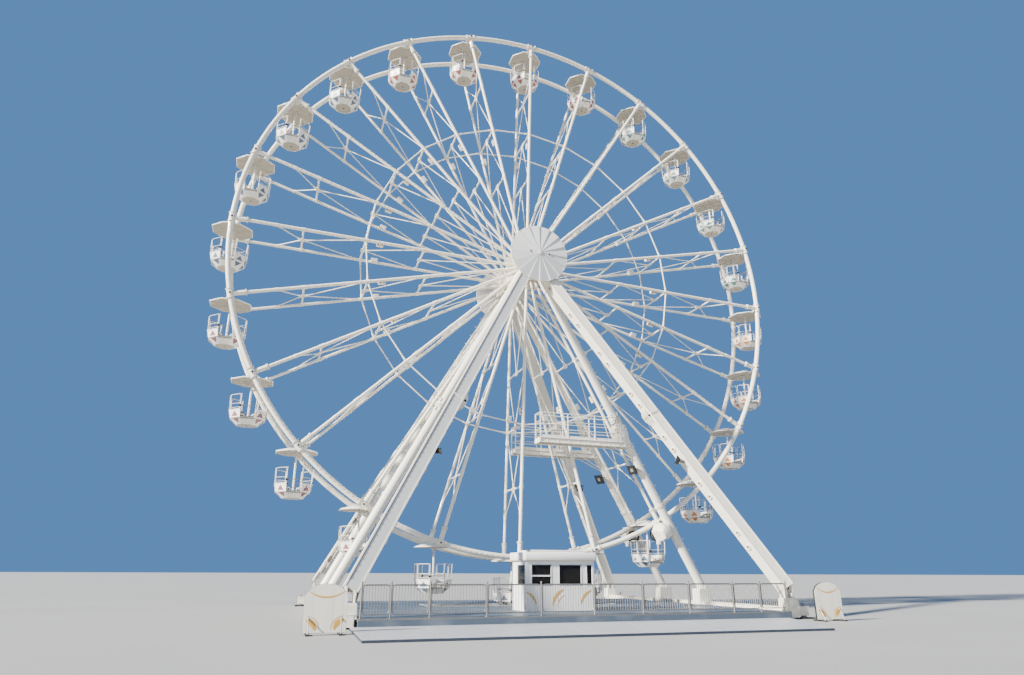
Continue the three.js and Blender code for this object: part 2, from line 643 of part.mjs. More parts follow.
function boothWallsGeometry() {
  const { left, right, front, rear, top } = BOOTH;
  const foot = DECK_TOP + SEAT_GAP;
  const inside = block(left + BOOTH_WALL, front + BOOTH_WALL, foot - PAST,
    right - BOOTH_WALL, rear - BOOTH_WALL, top + PAST);
  const shell = cut(block(left, front, foot, right, rear, top), [inside]);
  const sill = DECK_TOP + BOOTH_SILL;
  const head = top - BOOTH_LINTEL;
  const openings = [];
  for (const [x0, x1] of BOOTH_WINDOWS) {
    openings.push(block(x0, front - PAST, sill, x1, front + BOOTH_WALL + PAST, head));
  }
  openings.push(block(left - PAST, front + SIDE_WINDOW[0], sill,
    right + PAST, front + SIDE_WINDOW[1], head));
  openings.push(block(BOOTH_DOOR[0], rear - BOOTH_WALL - PAST, foot + BOOTH_DOOR_SILL, BOOTH_DOOR[1], rear + PAST,
    head));
  return cut(shell, openings);
}

function boothRoofGeometry() {
  const { left, right, front, rear, top } = BOOTH;
  const z = top + SEAT_GAP;
  const wide = ROOF_OVERHANG;
  const box = ROOF_BOX;
  return fuse([
    block(left - wide, front - wide, z, right + wide, rear + wide, z + ROOF_EDGE),
    block(box.left, box.front, z + ROOF_EDGE / 2, box.right, box.rear, z + ROOF_HEIGHT),
  ]);
}

// A free-standing board with an arched head, on a pair of feet
function signGeometry() {
  const half = SIGN_WIDTH / 2;
  const spring = SIGN_HEIGHT - SIGN_HEAD;
  const outline = [[-half, SIGN_FOOT_CLEAR], [half, SIGN_FOOT_CLEAR], [half, spring]];
  const [firstDeg, lastDeg] = SIGN_HEAD_DEG;
  for (let i = 0; i <= SIGN_HEAD_STEPS; i += 1) {
    const angle = THREE.MathUtils.degToRad(firstDeg + ((lastDeg - firstDeg) * i) / SIGN_HEAD_STEPS);
    outline.push([half * SIGN_HEAD_SHARE * Math.cos(angle), spring + SIGN_HEAD * Math.sin(angle)]);
  }
  outline.push([-half, spring]);
  const parts = [plate(outline, -SIGN_HALF_THICK, SIGN_HALF_THICK)];
  const { inset, half: footHalf, reach, top } = SIGN_FOOT;
  for (const x of [-half + inset, half - inset]) {
    parts.push(block(x - footHalf, -reach, 0, x + footHalf, reach, top));
  }
  return fuse(parts);
}

const turning = new THREE.Group();
turning.position.z = AXLE_HEIGHT;
wheel.add(turning);

addPiece('rim_front', ringGeometry(-1), paint.white, turning);
addPiece('rim_rear', ringGeometry(1), paint.white, turning);
addPiece('hub_drum', hubGeometry(), paint.white, turning);
const spokeGroup = spokeGroupGeometry();
for (let i = 0; i < GONDOLAS / FRAMES_PER_GROUP; i += 1) {
  const mesh = addPiece(`spokes_${i + 1}`, spokeGroup.clone(), paint.white, turning);
  mesh.rotation.y = -nodeAngle(i * FRAMES_PER_GROUP);
}
const gondola = gondolaGeometry();
for (let i = 0; i < GONDOLAS; i += 1) {
  const name = `gondola_${String(i + 1).padStart(2, '0')}`;
  const mesh = addPiece(name, gondola.clone(), paint.white, turning);
  mesh.position.copy(onWheel(RING_RADIUS, nodeAngle(i), 0));
}

const rearCover = coverGeometry();
addPiece('axle_and_heads', axleGeometry(), paint.white).position.z = AXLE_HEIGHT;
addPiece('hub_cover_front', mirrored(rearCover, 1, -1), paint.cover).position.z = AXLE_HEIGHT;
addPiece('hub_cover_rear', rearCover, paint.cover).position.z = AXLE_HEIGHT;

const crossBeam = crossBeamGeometry();
const mast = mastGeometry();
const platform = platformGeometry();
const drive = driveGeometry();
for (const [end, sy] of [['front', -1], ['rear', 1]]) {
  for (const [hand, sx] of [['left', -1], ['right', 1]]) {
    addPiece(`leg_${end}_${hand}`, legGeometry(sx, sy), paint.cream);
    addPiece(`mast_${end}_${hand}`, mirrored(mast, sx, sy), paint.white);
  }
  addPiece(`platform_${end}`, mirrored(platform, 1, sy), paint.white);
  addPiece(`drive_${end}`, mirrored(drive, 1, sy), paint.white);
}
addPiece('base_beam_left', mirrored(crossBeam, -1, 1), paint.cream);
addPiece('base_beam_right', crossBeam, paint.cream);
addPiece('base_rails', groundRailsGeometry(), paint.cream);

addPiece('deck', deckGeometry(), paint.deck);
addPiece('apron', slab(APRON_OUTLINE, 0, APRON_TOP), paint.apron).position.y = -SEAT_GAP;
addPiece('fence', fenceGeometry(), paint.steel);
addPiece('booth_walls', boothWallsGeometry(), paint.white);
addPiece('booth_roof', boothRoofGeometry(), paint.white);
addPiece('sign_left', signGeometry(), paint.cream).position.set(...SIGN_LEFT_AT, 0);
addPiece('sign_right', signGeometry(), paint.cream).position.set(...SIGN_RIGHT_AT, 0);

export default wheel;
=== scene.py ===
# Looks of the ferris wheel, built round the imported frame, in metres.
# X runs to the right, Y away from the front, Z up. The origin is on the ground under the axle.
import json
from math import atan2, cos, pi, radians, sin

import bmesh
import bpy
from mathutils import Matrix, Vector


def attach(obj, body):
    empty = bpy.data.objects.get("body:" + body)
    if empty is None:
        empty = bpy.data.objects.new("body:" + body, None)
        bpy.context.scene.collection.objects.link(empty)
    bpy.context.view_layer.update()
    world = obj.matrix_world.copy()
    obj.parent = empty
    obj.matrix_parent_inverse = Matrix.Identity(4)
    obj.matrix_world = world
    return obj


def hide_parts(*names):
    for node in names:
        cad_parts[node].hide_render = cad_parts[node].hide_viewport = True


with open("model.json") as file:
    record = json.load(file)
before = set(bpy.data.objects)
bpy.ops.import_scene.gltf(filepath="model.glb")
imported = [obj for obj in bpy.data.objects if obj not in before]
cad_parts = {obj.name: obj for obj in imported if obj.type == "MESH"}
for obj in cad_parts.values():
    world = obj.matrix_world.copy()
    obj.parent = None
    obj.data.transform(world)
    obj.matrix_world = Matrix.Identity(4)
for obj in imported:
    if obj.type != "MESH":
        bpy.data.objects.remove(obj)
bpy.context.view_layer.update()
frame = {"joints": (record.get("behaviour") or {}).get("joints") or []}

X = Vector((1, 0, 0))
Y = Vector((0, 1, 0))
Z = Vector((0, 0, 1))
ORIGIN = Vector()
TURN = 2 * pi
ENDS = (("front", -1), ("rear", 1))
HANDS = (("left", -1), ("right", 1))

# Seat gap of the solids, kept where a piece rests on another
GAP = 0.0004

# Places that the frame's own joints give
PIVOT = {joint["name"]: Vector(joint["pos_m"]) for joint in frame["joints"]}
AXLE = PIVOT["wheel_spin"]
GONDOLAS = len(PIVOT) - 1
GONDOLA_NAMES = [f"gondola_{i + 1:02d}" for i in range(GONDOLAS)]
HANGERS = [PIVOT[f"{name}_hang"] for name in GONDOLA_NAMES]
RING_R = (HANGERS[0] - AXLE).length
FIRST_ANGLE = atan2(HANGERS[0].z - AXLE.z, HANGERS[0].x)
STEP = TURN / GONDOLAS


def vec(x, y, z):
    return Vector((x, y, z))


def lerp(a, b, share):
    return a + (b - a) * share


def spread(a, b, count):
    """Evenly spaced numbers from a to b, both ends included."""
    return [lerp(a, b, i / (count - 1)) for i in range(count)]


# Camera, matched to the photograph's 24 ring nodes

CAMERA_PLACE = vec(-11.684, -32.8286, 1.8255)
CAMERA_YAW = radians(18.9712)
CAMERA_PITCH = radians(18.9992)
CAMERA_ROLL = radians(0.175)
FOCAL_PIXELS = 678.2
PHOTO_PIXELS = 1024
SENSOR = 36


def make_camera():
    data = bpy.data.cameras.new("camera")
    data.sensor_width = SENSOR
    data.lens = FOCAL_PIXELS / PHOTO_PIXELS * SENSOR
    data.clip_end = 500
    ahead = vec(sin(CAMERA_YAW), cos(CAMERA_YAW), 0) * cos(CAMERA_PITCH) + Z * sin(CAMERA_PITCH)
    right = ahead.cross(Z).normalized()
    tilted = right * cos(CAMERA_ROLL) + right.cross(ahead) * sin(CAMERA_ROLL)
    turn = Matrix((tilted, tilted.cross(ahead), -ahead)).transposed()
    camera = bpy.data.objects.new("camera", data)
    camera.matrix_world = Matrix.Translation(CAMERA_PLACE) @ turn.to_4x4()
    bpy.context.scene.collection.objects.link(camera)
    bpy.context.scene.camera = camera


make_camera()


# Shapes

ROUND_LIMIT = radians(50)


def basis(along, hint=Y):
    """Two directions across a third, the first as near to the hint as it can be."""
    w = along.normalized()
    u = hint - w * hint.dot(w)
    if u.length < 0.02:
        u = X - w * X.dot(w)
    u.normalize()
    return u, w.cross(u), w


def circle(centre, u, v, radius, sides, start=0.0):
    angles = [start + TURN * i / sides for i in range(sides)]
    return [centre + (u * cos(a) + v * sin(a)) * radius for a in angles]


def rounded(points, radius, steps=3, closed=False):
    """The same line with its corners turned into short arcs."""
    line = []
    count = len(points)
    for i, point in enumerate(points):
        if not closed and i in (0, count - 1):
            line.append(point)
            continue
        before = points[i - 1] - point
        after = points[(i + 1) % count] - point
        reach = min(radius, before.length / 2, after.length / 2)
        a = point + before.normalized() * reach
        b = point + after.normalized() * reach
        for k in range(steps + 1):
            t = k / steps
            line.append(a * (1 - t) ** 2 + point * 2 * t * (1 - t) + b * t ** 2)
    return line


class Shape:
    """The vertices and faces of one piece. Each face knows its finish and whether it is round."""

    def __init__(self):
        self.points = []
        self.faces = []
        self.finishes = []
        self.rounds = []

    def add(self, points, faces, finish=0, smooth=False):
        first = len(self.points)
        self.points.extend(points)
        self.faces += [[first + i for i in face] for face in faces]
        self.finishes += [finish] * len(faces)
        self.rounds += [smooth] * len(faces)

    def skin(self, rings, finish=0, smooth=False, closed=False):
        """Joins rings that run anticlockwise about the way they are listed, and caps the ends."""
        n = len(rings[0])
        last = len(rings) if closed else len(rings) - 1
        faces = []
        for i in range(last):
            a = i * n
            b = (i + 1) % len(rings) * n
            faces += [[a + j, a + (j + 1) % n, b + (j + 1) % n, b + j] for j in range(n)]
        self.add([p for ring in rings for p in ring], faces, finish, smooth)
        if not closed:
            total = len(self.points)
            first = total - len(rings) * n
            self.faces += [list(reversed(range(first, first + n))), list(range(total - n, total))]
            self.finishes += [finish] * 2
            self.rounds += [False] * 2

    def sheet(self, ring, offset, finish=0):
        """A flat outline pushed along an offset."""
        self.skin([ring, [p + offset for p in ring]], finish)

    def tube(self, a, b, radius, finish=0, sides=10, end=None, hint=Y, smooth=True):
        u, v, _ = basis(b - a, hint)
        radii = ((a, radius), (b, radius if end is None else end))
        self.skin([circle(p, u, v, r, sides, pi / sides) for p, r in radii], finish, smooth)

    def path(self, line, radius, finish=0, sides=6, closed=False, hint=Z):
        rings = []
        for i, point in enumerate(line):
            before = line[i - 1] if closed or i > 0 else point
            after = line[(i + 1) % len(line)] if closed or i < len(line) - 1 else point
            u, v, _ = basis(after - before, hint)
            rings.append(circle(point, u, v, radius, sides))
        self.skin(rings, finish, True, closed)

    def lathe(self, profile, centre, axis, finish=0, sides=24):
        """Turns (radius, height) points about an axis."""
        u, v, w = basis(axis, Z)
        self.skin([circle(centre + w * height, u, v, r, sides) for r, height in profile], finish, True)

    def hoop(self, profile, centre, axis, finish=0, segments=48, start=0.0):
        """Sweeps a closed (radius, height) section round an axis."""
        u, v, w = basis(axis, Z)
        rings = []
        for out in circle(ORIGIN, u, v, 1, segments, start):
            rings.append([centre + out * radius + w * height for radius, height in profile])
        self.skin(rings, finish, True, closed=True)

    def block(self, centre, u, v, w, finish=0):
        """A box given by its middle and three half edges that form a right hand."""
        ring = [centre + c - w for c in (-u - v, u - v, u + v, v - u)]
        self.sheet(ring, w * 2, finish)

    def box(self, x0, y0, z0, x1, y1, z1, finish=0):
        centre = vec(x0 + x1, y0 + y1, z0 + z1) / 2
        self.block(centre, X * (x1 - x0) / 2, Y * (y1 - y0) / 2, Z * (z1 - z0) / 2, finish)

    def boxes(self, finish, *rows):
        """Boxes of one finish, each given by its low and its high corner."""
        for row in rows:
            self.box(*row, finish)

    def prism(self, outline, origin, u, v, depth, finish=0):
        """An anticlockwise outline in u and v, pushed along their cross product."""
        self.sheet([origin + u * a + v * b for a, b in outline], u.cross(v) * depth, finish)

    def bolts(self, centre, axis, ring_radius, count, radius, height, finish=0, hint=Z, start=0.0):
        u, v, w = basis(axis, hint)
        for foot in circle(centre, u, v, ring_radius, count, start):
            self.tube(foot, foot + w * height, radius, finish, 6, smooth=False)

    def mirrored(self, sx, sy):
        copy = Shape()
        copy.points = [vec(p.x * sx, p.y * sy, p.z) for p in self.points]
        copy.faces = [face[::-1] if sx * sy < 0 else face for face in self.faces]
        copy.finishes, copy.rounds = self.finishes, self.rounds
        return copy


def mesh_of(name, shape, finishes):
    mesh = bpy.data.meshes.new(name)
    mesh.from_pydata([tuple(p) for p in shape.points], [], shape.faces)
    mesh.polygons.foreach_set("material_index", shape.finishes)
    mesh.polygons.foreach_set("use_smooth", shape.rounds)
    for finish in finishes.split():
        mesh.materials.append(FINISH[finish])
    turned = bmesh.new()
    turned.from_mesh(mesh)
    bmesh.ops.recalc_face_normals(turned, faces=turned.faces)
    turned.to_mesh(mesh)
    turned.free()
    mesh.set_sharp_from_angle(angle=ROUND_LIMIT)
    return mesh


def place(name, mesh, body, replaces=(), matrix=Matrix(), bevel=0.0):
    piece = bpy.data.objects.new(name, mesh)
    bpy.context.scene.collection.objects.link(piece)
    piece.matrix_world = matrix
    if bevel:
        edge = piece.modifiers.new("edges", "BEVEL")
        edge.width = bevel
        edge.segments = 2
        edge.limit_method = "ANGLE"
        edge.angle_limit = ROUND_LIMIT
    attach(piece, body)
    if replaces:
        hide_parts(*replaces)


def make(name, shape, finishes, replaces=(), bevel=0.0):
    """Places a shape that is modelled where it stands on the base."""
    place(name, mesh_of(name, shape, finishes), "base", replaces, bevel=bevel)


# Finishes

FINISH = {}
GRIME = (0.30, 0.25, 0.18, 1)


class Look:
    """A material's nodes, with short ways to add and join them."""

    def __init__(self, name):
        self.material = bpy.data.materials.new(name)
        self.material.use_nodes = True
        self.tree = self.material.node_tree
        self.shader = self.tree.nodes["Principled BSDF"]
        self.place = self.add("TexCoord").outputs["Object"]
        FINISH[name] = self.material

    def add(self, kind, inputs=None, **settings):
        made = self.tree.nodes.new(f"ShaderNode{kind}")
        for key, value in settings.items():
            setattr(made, key, value)
        for key, value in (inputs or {}).items():
            self.put(made.inputs[key], value)
        return made

    def put(self, socket, value):
        if isinstance(value, bpy.types.NodeSocket):
            self.tree.links.new(value, socket)
        else:
            socket.default_value = value

    def set(self, **values):
        for key, value in values.items():
            self.put(self.shader.inputs[key.replace("_", " ")], value)

    def noise(self, scale, detail=3.0, stretch=None):
        where = self.place
        if stretch:
            where = self.add("Mapping", {"Vector": where, "Scale": stretch}).outputs["Vector"]
        return self.add("TexNoise", {"Vector": where, "Scale": scale, "Detail": detail}).outputs["Fac"]

    def cells(self, scale):
        return self.add("TexVoronoi", {"Vector": self.place, "Scale": scale}).outputs["Distance"]

    def span(self, value, low, high, to_low=0.0, to_high=1.0):
        inputs = {"Value": value, "From Min": low, "From Max": high, "To Min": to_low, "To Max": to_high}
        return self.add("MapRange", inputs).outputs["Result"]

    def mix(self, factor, a, b):
        return self.add("Mix", {0: factor, 6: a, 7: b}, data_type="RGBA").outputs[2]

    def bump(self, height, strength, distance):
        inputs = {"Height": height, "Strength": strength, "Distance": distance}
        return self.add("Bump", inputs).outputs["Normal"]


def shade(colour, share):
    return tuple(channel * share for channel in colour[:3]) + (1,)


def painted(name, colour, rough=0.34, coat=0.2, stains=0.22, grain=30.0, relief=0.0008):
    """Paint on steel: slow colour changes, dirt that has run down, and a fine uneven skin."""
    look = Look(name)
    slow = look.noise(0.45, 2)
    fine = look.noise(grain, 4)
    runs = look.noise(1.0, 4, (6.5, 6.5, 0.4))
    base = look.mix(look.span(slow, 0.3, 0.7, 0, 0.5), colour, shade(colour, 0.9))
    look.set(Base_Color=look.mix(look.span(runs, 0.52, 0.8, 0, stains), base, GRIME))
    look.set(Roughness=look.span(fine, 0.3, 0.7, rough - 0.07, rough + 0.1))
    look.set(Normal=look.bump(fine, 0.25, relief), Coat_Weight=coat)


def steel(name, colour, rough=0.38):
    """Galvanised steel: crystal patches of slightly different grey."""
    look = Look(name)
    crystals = look.cells(22)
    slow = look.noise(1.3, 3)
    base = look.mix(look.span(crystals, 0.1, 0.6), shade(colour, 1.12), shade(colour, 0.84))
    look.set(Base_Color=look.mix(look.span(slow, 0.45, 0.75, 0, 0.35), base, shade(GRIME, 0.9)))
    look.set(Roughness=look.span(slow, 0.3, 0.7, rough - 0.08, rough + 0.14), Metallic=0.75)
    look.set(Normal=look.bump(crystals, 0.15, 0.0006))


def plated(name, colour, rough, wear, tread=48.0, metal=0.2):
    """A walked-on plate: small raised grains, worn bright patches and ground-in dirt."""
    look = Look(name)
    grains = look.cells(tread)
    wide = look.noise(0.8, 5)
    fine = look.noise(26, 4)
    worn = look.mix(look.span(wide, 0.5, 0.68, 0, 0.55), colour, wear)
    look.set(Base_Color=look.mix(look.span(fine, 0.5, 0.75, 0, 0.4), worn, shade(GRIME, 0.6)))
    look.set(Roughness=look.span(wide, 0.3, 0.7, rough + 0.12, rough - 0.1), Metallic=metal)
    look.set(Normal=look.bump(look.span(grains, 0.1, 0.5, 1, 0), 0.35, 0.0015))


def rubber(name, colour, dusty):
    look = Look(name)
    fine = look.noise(60, 4)
    dust = look.noise(5, 4)
    look.set(Base_Color=look.mix(look.span(dust, 0.45, 0.75, 0, 0.5), colour, dusty))
    look.set(Roughness=look.span(fine, 0.3, 0.7, 0.7, 0.9), Normal=look.bump(fine, 0.5, 0.002))


def woven(name, colour):
    look = Look(name)
    threads = look.add("TexWave", {"Vector": look.place, "Scale": 160.0, "Distortion": 1.5})
    slow = look.noise(4, 3)
    look.set(Base_Color=look.mix(look.span(slow, 0.3, 0.7), colour, shade(colour, 1.9)), Roughness=0.88)
    look.set(Normal=look.bump(threads.outputs["Fac"], 0.4, 0.001), Sheen_Weight=0.35)


def glass(name, colour):
    look = Look(name)
    film = look.noise(3.5, 4)
    look.set(Base_Color=look.mix(look.span(film, 0.4, 0.8, 0, 0.3), colour, shade(colour, 2.2)))
    look.set(Roughness=look.span(film, 0.4, 0.8, 0.04, 0.2), Transmission_Weight=0.25, IOR=1.3)


def lens(name, colour):
    look = Look(name)
    ribs = look.cells(90)
    look.set(Base_Color=look.mix(look.span(ribs, 0.1, 0.5), colour, shade(colour, 0.75)))
    look.set(Roughness=look.span(ribs, 0, 0.6, 0.12, 0.3), Coat_Weight=0.6)
    look.set(Normal=look.bump(ribs, 0.3, 0.001))


def concrete(name, dark, pale):
    look = Look(name)
    look.set(Base_Color=look.mix(look.span(look.noise(0.12, 5), 0.3, 0.7), dark, pale), Roughness=0.85)


ACCENTS = {
    "teal": (0.09, 0.22, 0.20, 1),
    "red": (0.36, 0.08, 0.06, 1),
    "slate": (0.09, 0.13, 0.19, 1),
    "mauve": (0.22, 0.09, 0.11, 1),
    "orange": (0.55, 0.20, 0.04, 1),
}

painted("white", (0.86, 0.81, 0.69, 1))
painted("gondola", (0.87, 0.85, 0.78, 1), rough=0.28, coat=0.35, stains=0.16, grain=45.0, relief=0.0005)
# Painted shade: the dark beige under the gondolas' canopies and tubs, where the shade falls
painted("underside", (0.42, 0.37, 0.29, 1), rough=0.45, coat=0.05, stains=0.25)
painted("cream", (0.84, 0.79, 0.66, 1), rough=0.36, stains=0.18)
painted("grey", (0.58, 0.58, 0.56, 1), rough=0.42, coat=0.1, stains=0.2)
painted("cover", (0.72, 0.73, 0.69, 1), rough=0.5, coat=0.05, stains=0.12, grain=60.0)
painted("booth", (0.87, 0.86, 0.82, 1), rough=0.3, coat=0.3, stains=0.14)
painted("sign", (0.82, 0.78, 0.66, 1), rough=0.4, stains=0.25)
painted("black", (0.014, 0.014, 0.016, 1), rough=0.42, coat=0.1, stains=0.05)
# Painted shade: the dark brown that fills the legs' lifting sockets
painted("shade", (0.16, 0.14, 0.11, 1), rough=0.6, coat=0, stains=0.2)
painted("navy", (0.022, 0.034, 0.055, 1), rough=0.5, coat=0.1, stains=0.1)
painted("gold", (0.62, 0.33, 0.04, 1), rough=0.35, coat=0.3, stains=0.1)
for accent, accent_colour in ACCENTS.items():
    painted(accent, accent_colour, rough=0.35, stains=0.12)
steel("steel", (0.26, 0.25, 0.23, 1))
plated("deck", (0.07, 0.10, 0.14, 1), 0.5, (0.20, 0.23, 0.26, 1))
plated("apron", (0.50, 0.51, 0.53, 1), 0.45, (0.66, 0.66, 0.65, 1), tread=70.0, metal=0.35)
rubber("rubber", (0.018, 0.018, 0.019, 1), (0.09, 0.085, 0.075, 1))
woven("fabric", (0.03, 0.03, 0.04, 1))
glass("glass", (0.012, 0.011, 0.010, 1))
lens("lens", (0.80, 0.80, 0.78, 1))
lens("blue_lens", (0.05, 0.08, 0.16, 1))
lens("dim_lens", (0.30, 0.28, 0.22, 1))
concrete("floor", (0.31, 0.305, 0.29, 1), (0.34, 0.335, 0.32, 1))


# Floor and light

FLOOR_HALF = 600

# Lamps: where the light comes from, its strength, its spread in degrees and its colour
LAMPS = {
    "sun": (vec(-0.90, -0.20, 0.44), 18.0, 3, (1.0, 0.96, 0.89)),
    "fill": (vec(-0.25, -1.0, 0.30), 0.9, 70, (1.0, 0.93, 0.82)),
}
SKY = (0.16, 0.41, 0.92, 1)
SKY_STRENGTH = 0.62


def make_stage():
    floor = Shape()
    floor.box(-FLOOR_HALF, -FLOOR_HALF, -0.1, FLOOR_HALF, FLOOR_HALF, 0)
    piece = bpy.data.objects.new("floor", mesh_of("floor", floor, "floor"))
    bpy.context.scene.collection.objects.link(piece)
    piece.location.z = -0.002
    for name, (out_of, energy, wide, colour) in LAMPS.items():
        sun = bpy.data.lights.new(name, "SUN")
        sun.energy = energy
        sun.angle = radians(wide)
        sun.color = colour
        lamp = bpy.data.objects.new(name, sun)
        lamp.rotation_mode = "QUATERNION"
        lamp.rotation_quaternion = out_of.to_track_quat("Z", "Y")
        bpy.context.scene.collection.objects.link(lamp)
    world = bpy.data.worlds.new("studio")
    world.use_nodes = True
    backdrop = world.node_tree.nodes["Background"]
    backdrop.inputs["Color"].default_value = SKY
    backdrop.inputs["Strength"].default_value = SKY_STRENGTH
    bpy.context.scene.world = world


make_stage()


# Wheel: made round the axle, with the numbers of the part's source

RING_Y = 1.18
RING_TUBE = 0.125
SPOKE_START = 0.70187
SPOKE_END = 14.8746
SPOKE_HUB_Y = 1.28
SPOKES = ((-1, 0.08), (1, 0.07))
STRUTS = (11.7, 8.65, 5.65)
STRUT = 0.045
TIE = 0.034
FRAMES_PER_GROUP = 3

RIM_SEGMENTS = 192
RIM_SIDES = 14
CAP_R = 0.028
CAP_STEP = 0.26
SLEEVE_R = 0.152
SLEEVE_HALF = 0.24
ARM_R = 0.068
ARM_END = 1.03
PIN_R = 0.043
PIN_END = 0.905

# Arm, pin and nut of a gondola: from and to along Y, radii, finish, sides and whether it is round
RIM_PINS = (
    (RING_Y + 0.19, ARM_END, ARM_R + 0.02, ARM_R, 0, 14, True),
    (ARM_END, PIN_END, PIN_R, PIN_R, 2, 12, True),
    (RING_Y + 0.23, RING_Y + 0.19, 0.05, 0.05, 1, 6, False),
)


def node_angle(index):
    return FIRST_ANGLE + index * STEP


def on_wheel(radius, angle, y=0.0):
    return vec(radius * cos(angle), y, radius * sin(angle))


def spoke_y(radius):
    return lerp(SPOKE_HUB_Y, RING_Y, (radius - SPOKE_START) / (SPOKE_END - SPOKE_START))


def lamp_caps(shape, points, finish=3):
    """Small round lamp caps on a surface that faces the front."""
    for point in points:
        shape.tube(point, point - Y * 0.024, CAP_R, finish, 6, end=CAP_R * 0.6)


def rim(side):
    """The ring with its joint sleeves, the arms and pins that the gondolas hang on, and the lamps."""
    shape = Shape()
    turns = [TURN * i / RIM_SIDES for i in range(RIM_SIDES)]
    section = [(RING_R + RING_TUBE * cos(a), RING_TUBE * sin(a)) for a in turns]
    shape.hoop(section, Y * side * RING_Y, -Y, 0, RIM_SEGMENTS, FIRST_ANGLE)
    for i in range(GONDOLAS):
        angle = node_angle(i)
        out = on_wheel(1, angle)
        tangent = on_wheel(1, angle + pi / 2)
        middle = on_wheel(RING_R - RING_R * (1 - cos(SLEEVE_HALF / RING_R)), angle, side * RING_Y)
        shape.tube(middle - tangent * SLEEVE_HALF, middle + tangent * SLEEVE_HALF, SLEEVE_R, 0, 16)
        for way in (tangent, -tangent):
            end = middle + way * SLEEVE_HALF
            shape.tube(end - way * 0.03, end, SLEEVE_R + 0.035, 0, 16)
            shape.bolts(end - way * 0.045, way, SLEEVE_R + 0.012, 8, 0.012, 0.06, 1, hint=out)
        for start, stop, wide, narrow, finish, sides, smooth in RIM_PINS:
            a, b = (on_wheel(RING_R, angle, side * y) for y in (start, stop))
            shape.tube(a, b, wide, finish, sides, narrow, out, smooth)
    if side < 0:
        count = round(TURN * RING_R / CAP_STEP / GONDOLAS) * GONDOLAS
        face = side * (RING_Y + RING_TUBE - 0.006)
        angles = [FIRST_ANGLE + TURN * (k + 0.5) / count for k in range(count)]
        lamp_caps(shape, [on_wheel(RING_R, angle, face) for angle in angles])
    return shape


BOX_AT = 7.92
BOX_LENGTH = 0.34
BRACE_R = 0.024
BRACE_OUT = 12.95
HUB_END = 1.35

# Sleeves and flanges on a spoke: from, to, and how far they stand out from it
SPOKE_SLEEVES = (
    (SPOKE_END - 0.52, SPOKE_END - 0.02, 0.035),
    (SPOKE_END - 0.56, SPOKE_END - 0.53, 0.065),
    (SPOKE_END - 0.60, SPOKE_END - 0.57, 0.065),
    (SPOKE_START + 0.02, SPOKE_START + 0.5, 0.04),
    (SPOKE_START, SPOKE_START + 0.05, 0.09),
    *((r - 0.14, r + 0.14, 0.014) for r in STRUTS),
    *((r - 0.1, r + 0.1, 0.01) for r in (BRACE_OUT, 3.6)),
)


def light_box(shape, angle, side):
    """A lamp housing on the inner side of a spoke."""
    out = on_wheel(1, angle)
    across = on_wheel(1, angle + pi / 2)
    middle = on_wheel(BOX_AT, angle, side * (spoke_y(BOX_AT) - 0.19))
    shape.block(middle, out * BOX_LENGTH / 2, -Y * 0.1, across * 0.12)
    shape.block(middle - Y * side * 0.11, out * (BOX_LENGTH / 2 - 0.03), -Y * 0.012, across * 0.09, 3)
    for shift in (-0.1, 0.1):
        shape.block(middle + out * shift + Y * side * 0.12, out * 0.02, -Y * 0.05, across * 0.1, 1)


def brace(shape, a, b):
    shape.tube(a, b, BRACE_R, 0, 8)
    for point, other in ((a, b), (b, a)):
        shape.tube(point, point + (other - point).normalized() * 0.22, BRACE_R + 0.012, 0, 8)


def spoke_frame(shape, angle):
    """A front and a rear spoke with their sleeves, and the struts and braces between them."""
    out = on_wheel(1, angle)

    def inside(r, side, depth):
        return on_wheel(r, angle, side * (spoke_y(r) - depth))

    for side, radius in SPOKES:
        shape.tube(inside(SPOKE_START, side, 0), inside(SPOKE_END, side, 0), radius, 0, 14)
        for start, end, proud in SPOKE_SLEEVES:
            shape.tube(inside(start, side, 0), inside(end, side, 0), radius + proud, 0, 14)
        shape.bolts(inside(SPOKE_END - 0.62, side, 0), out, radius + 0.035, 8, 0.012, 0.11, 1, Y)
        shape.bolts(inside(SPOKE_START + 0.04, side, 0), out, radius + 0.06, 6, 0.014, 0.035, 1, Y)
        light_box(shape, angle, side)
    for r, inward in zip(STRUTS, (*(strut + 0.17 for strut in STRUTS[1:]), HUB_END)):
        front, rear = inside(r, -1, 0.06), inside(r, 1, 0.06)
        middle = (front + rear) / 2
        shape.tube(front, rear, STRUT, 0, 12, hint=out)
        for side in (-1, 1):
            foot = inside(r, side, 0.1)
            shape.tube(foot, foot - Y * side * 0.05, STRUT + 0.03, 0, 12, hint=out)
            gusset = middle + Y * side * 0.09
            shape.block(gusset, out * 0.11, -Y * 0.09, on_wheel(0.012, angle + pi / 2))
            brace(shape, middle - out * 0.05, inside(inward, side, 0.07))
            if r == STRUTS[0]:
                brace(shape, middle + out * 0.05, inside(BRACE_OUT, side, 0.06))
    count = int((SPOKE_END - SPOKE_START - 1.6) / CAP_STEP)
    radii = [SPOKE_START + 0.8 + k * CAP_STEP for k in range(count)]
    lamp_caps(shape, [inside(r, -1, 0.005 - SPOKES[0][1]) for r in radii])


def spoke_group():
    shape = Shape()
    tie_r = STRUTS[1]
    for angle in (i * STEP for i in range(FRAMES_PER_GROUP)):
        spoke_frame(shape, angle)
        for side in (-1, 1):
            a, b = (on_wheel(tie_r, angle + turn, side * spoke_y(tie_r)) for turn in (0, STEP))
            along = (b - a).normalized()
            shape.tube(a, b, TIE)
            shape.tube(a + along * 0.08, a + along * 0.3, TIE + 0.014)
            shape.tube(b - along * 0.3, b - along * 0.08, TIE + 0.014)
    return shape


FLANGE_R = 0.70
FLANGE_HALF = 0.1
FLANGE_BOLTS = 24
FLANGE_BOLT_R = 0.58
DRUM_R = 0.42
DRUM_HALF = 1.385


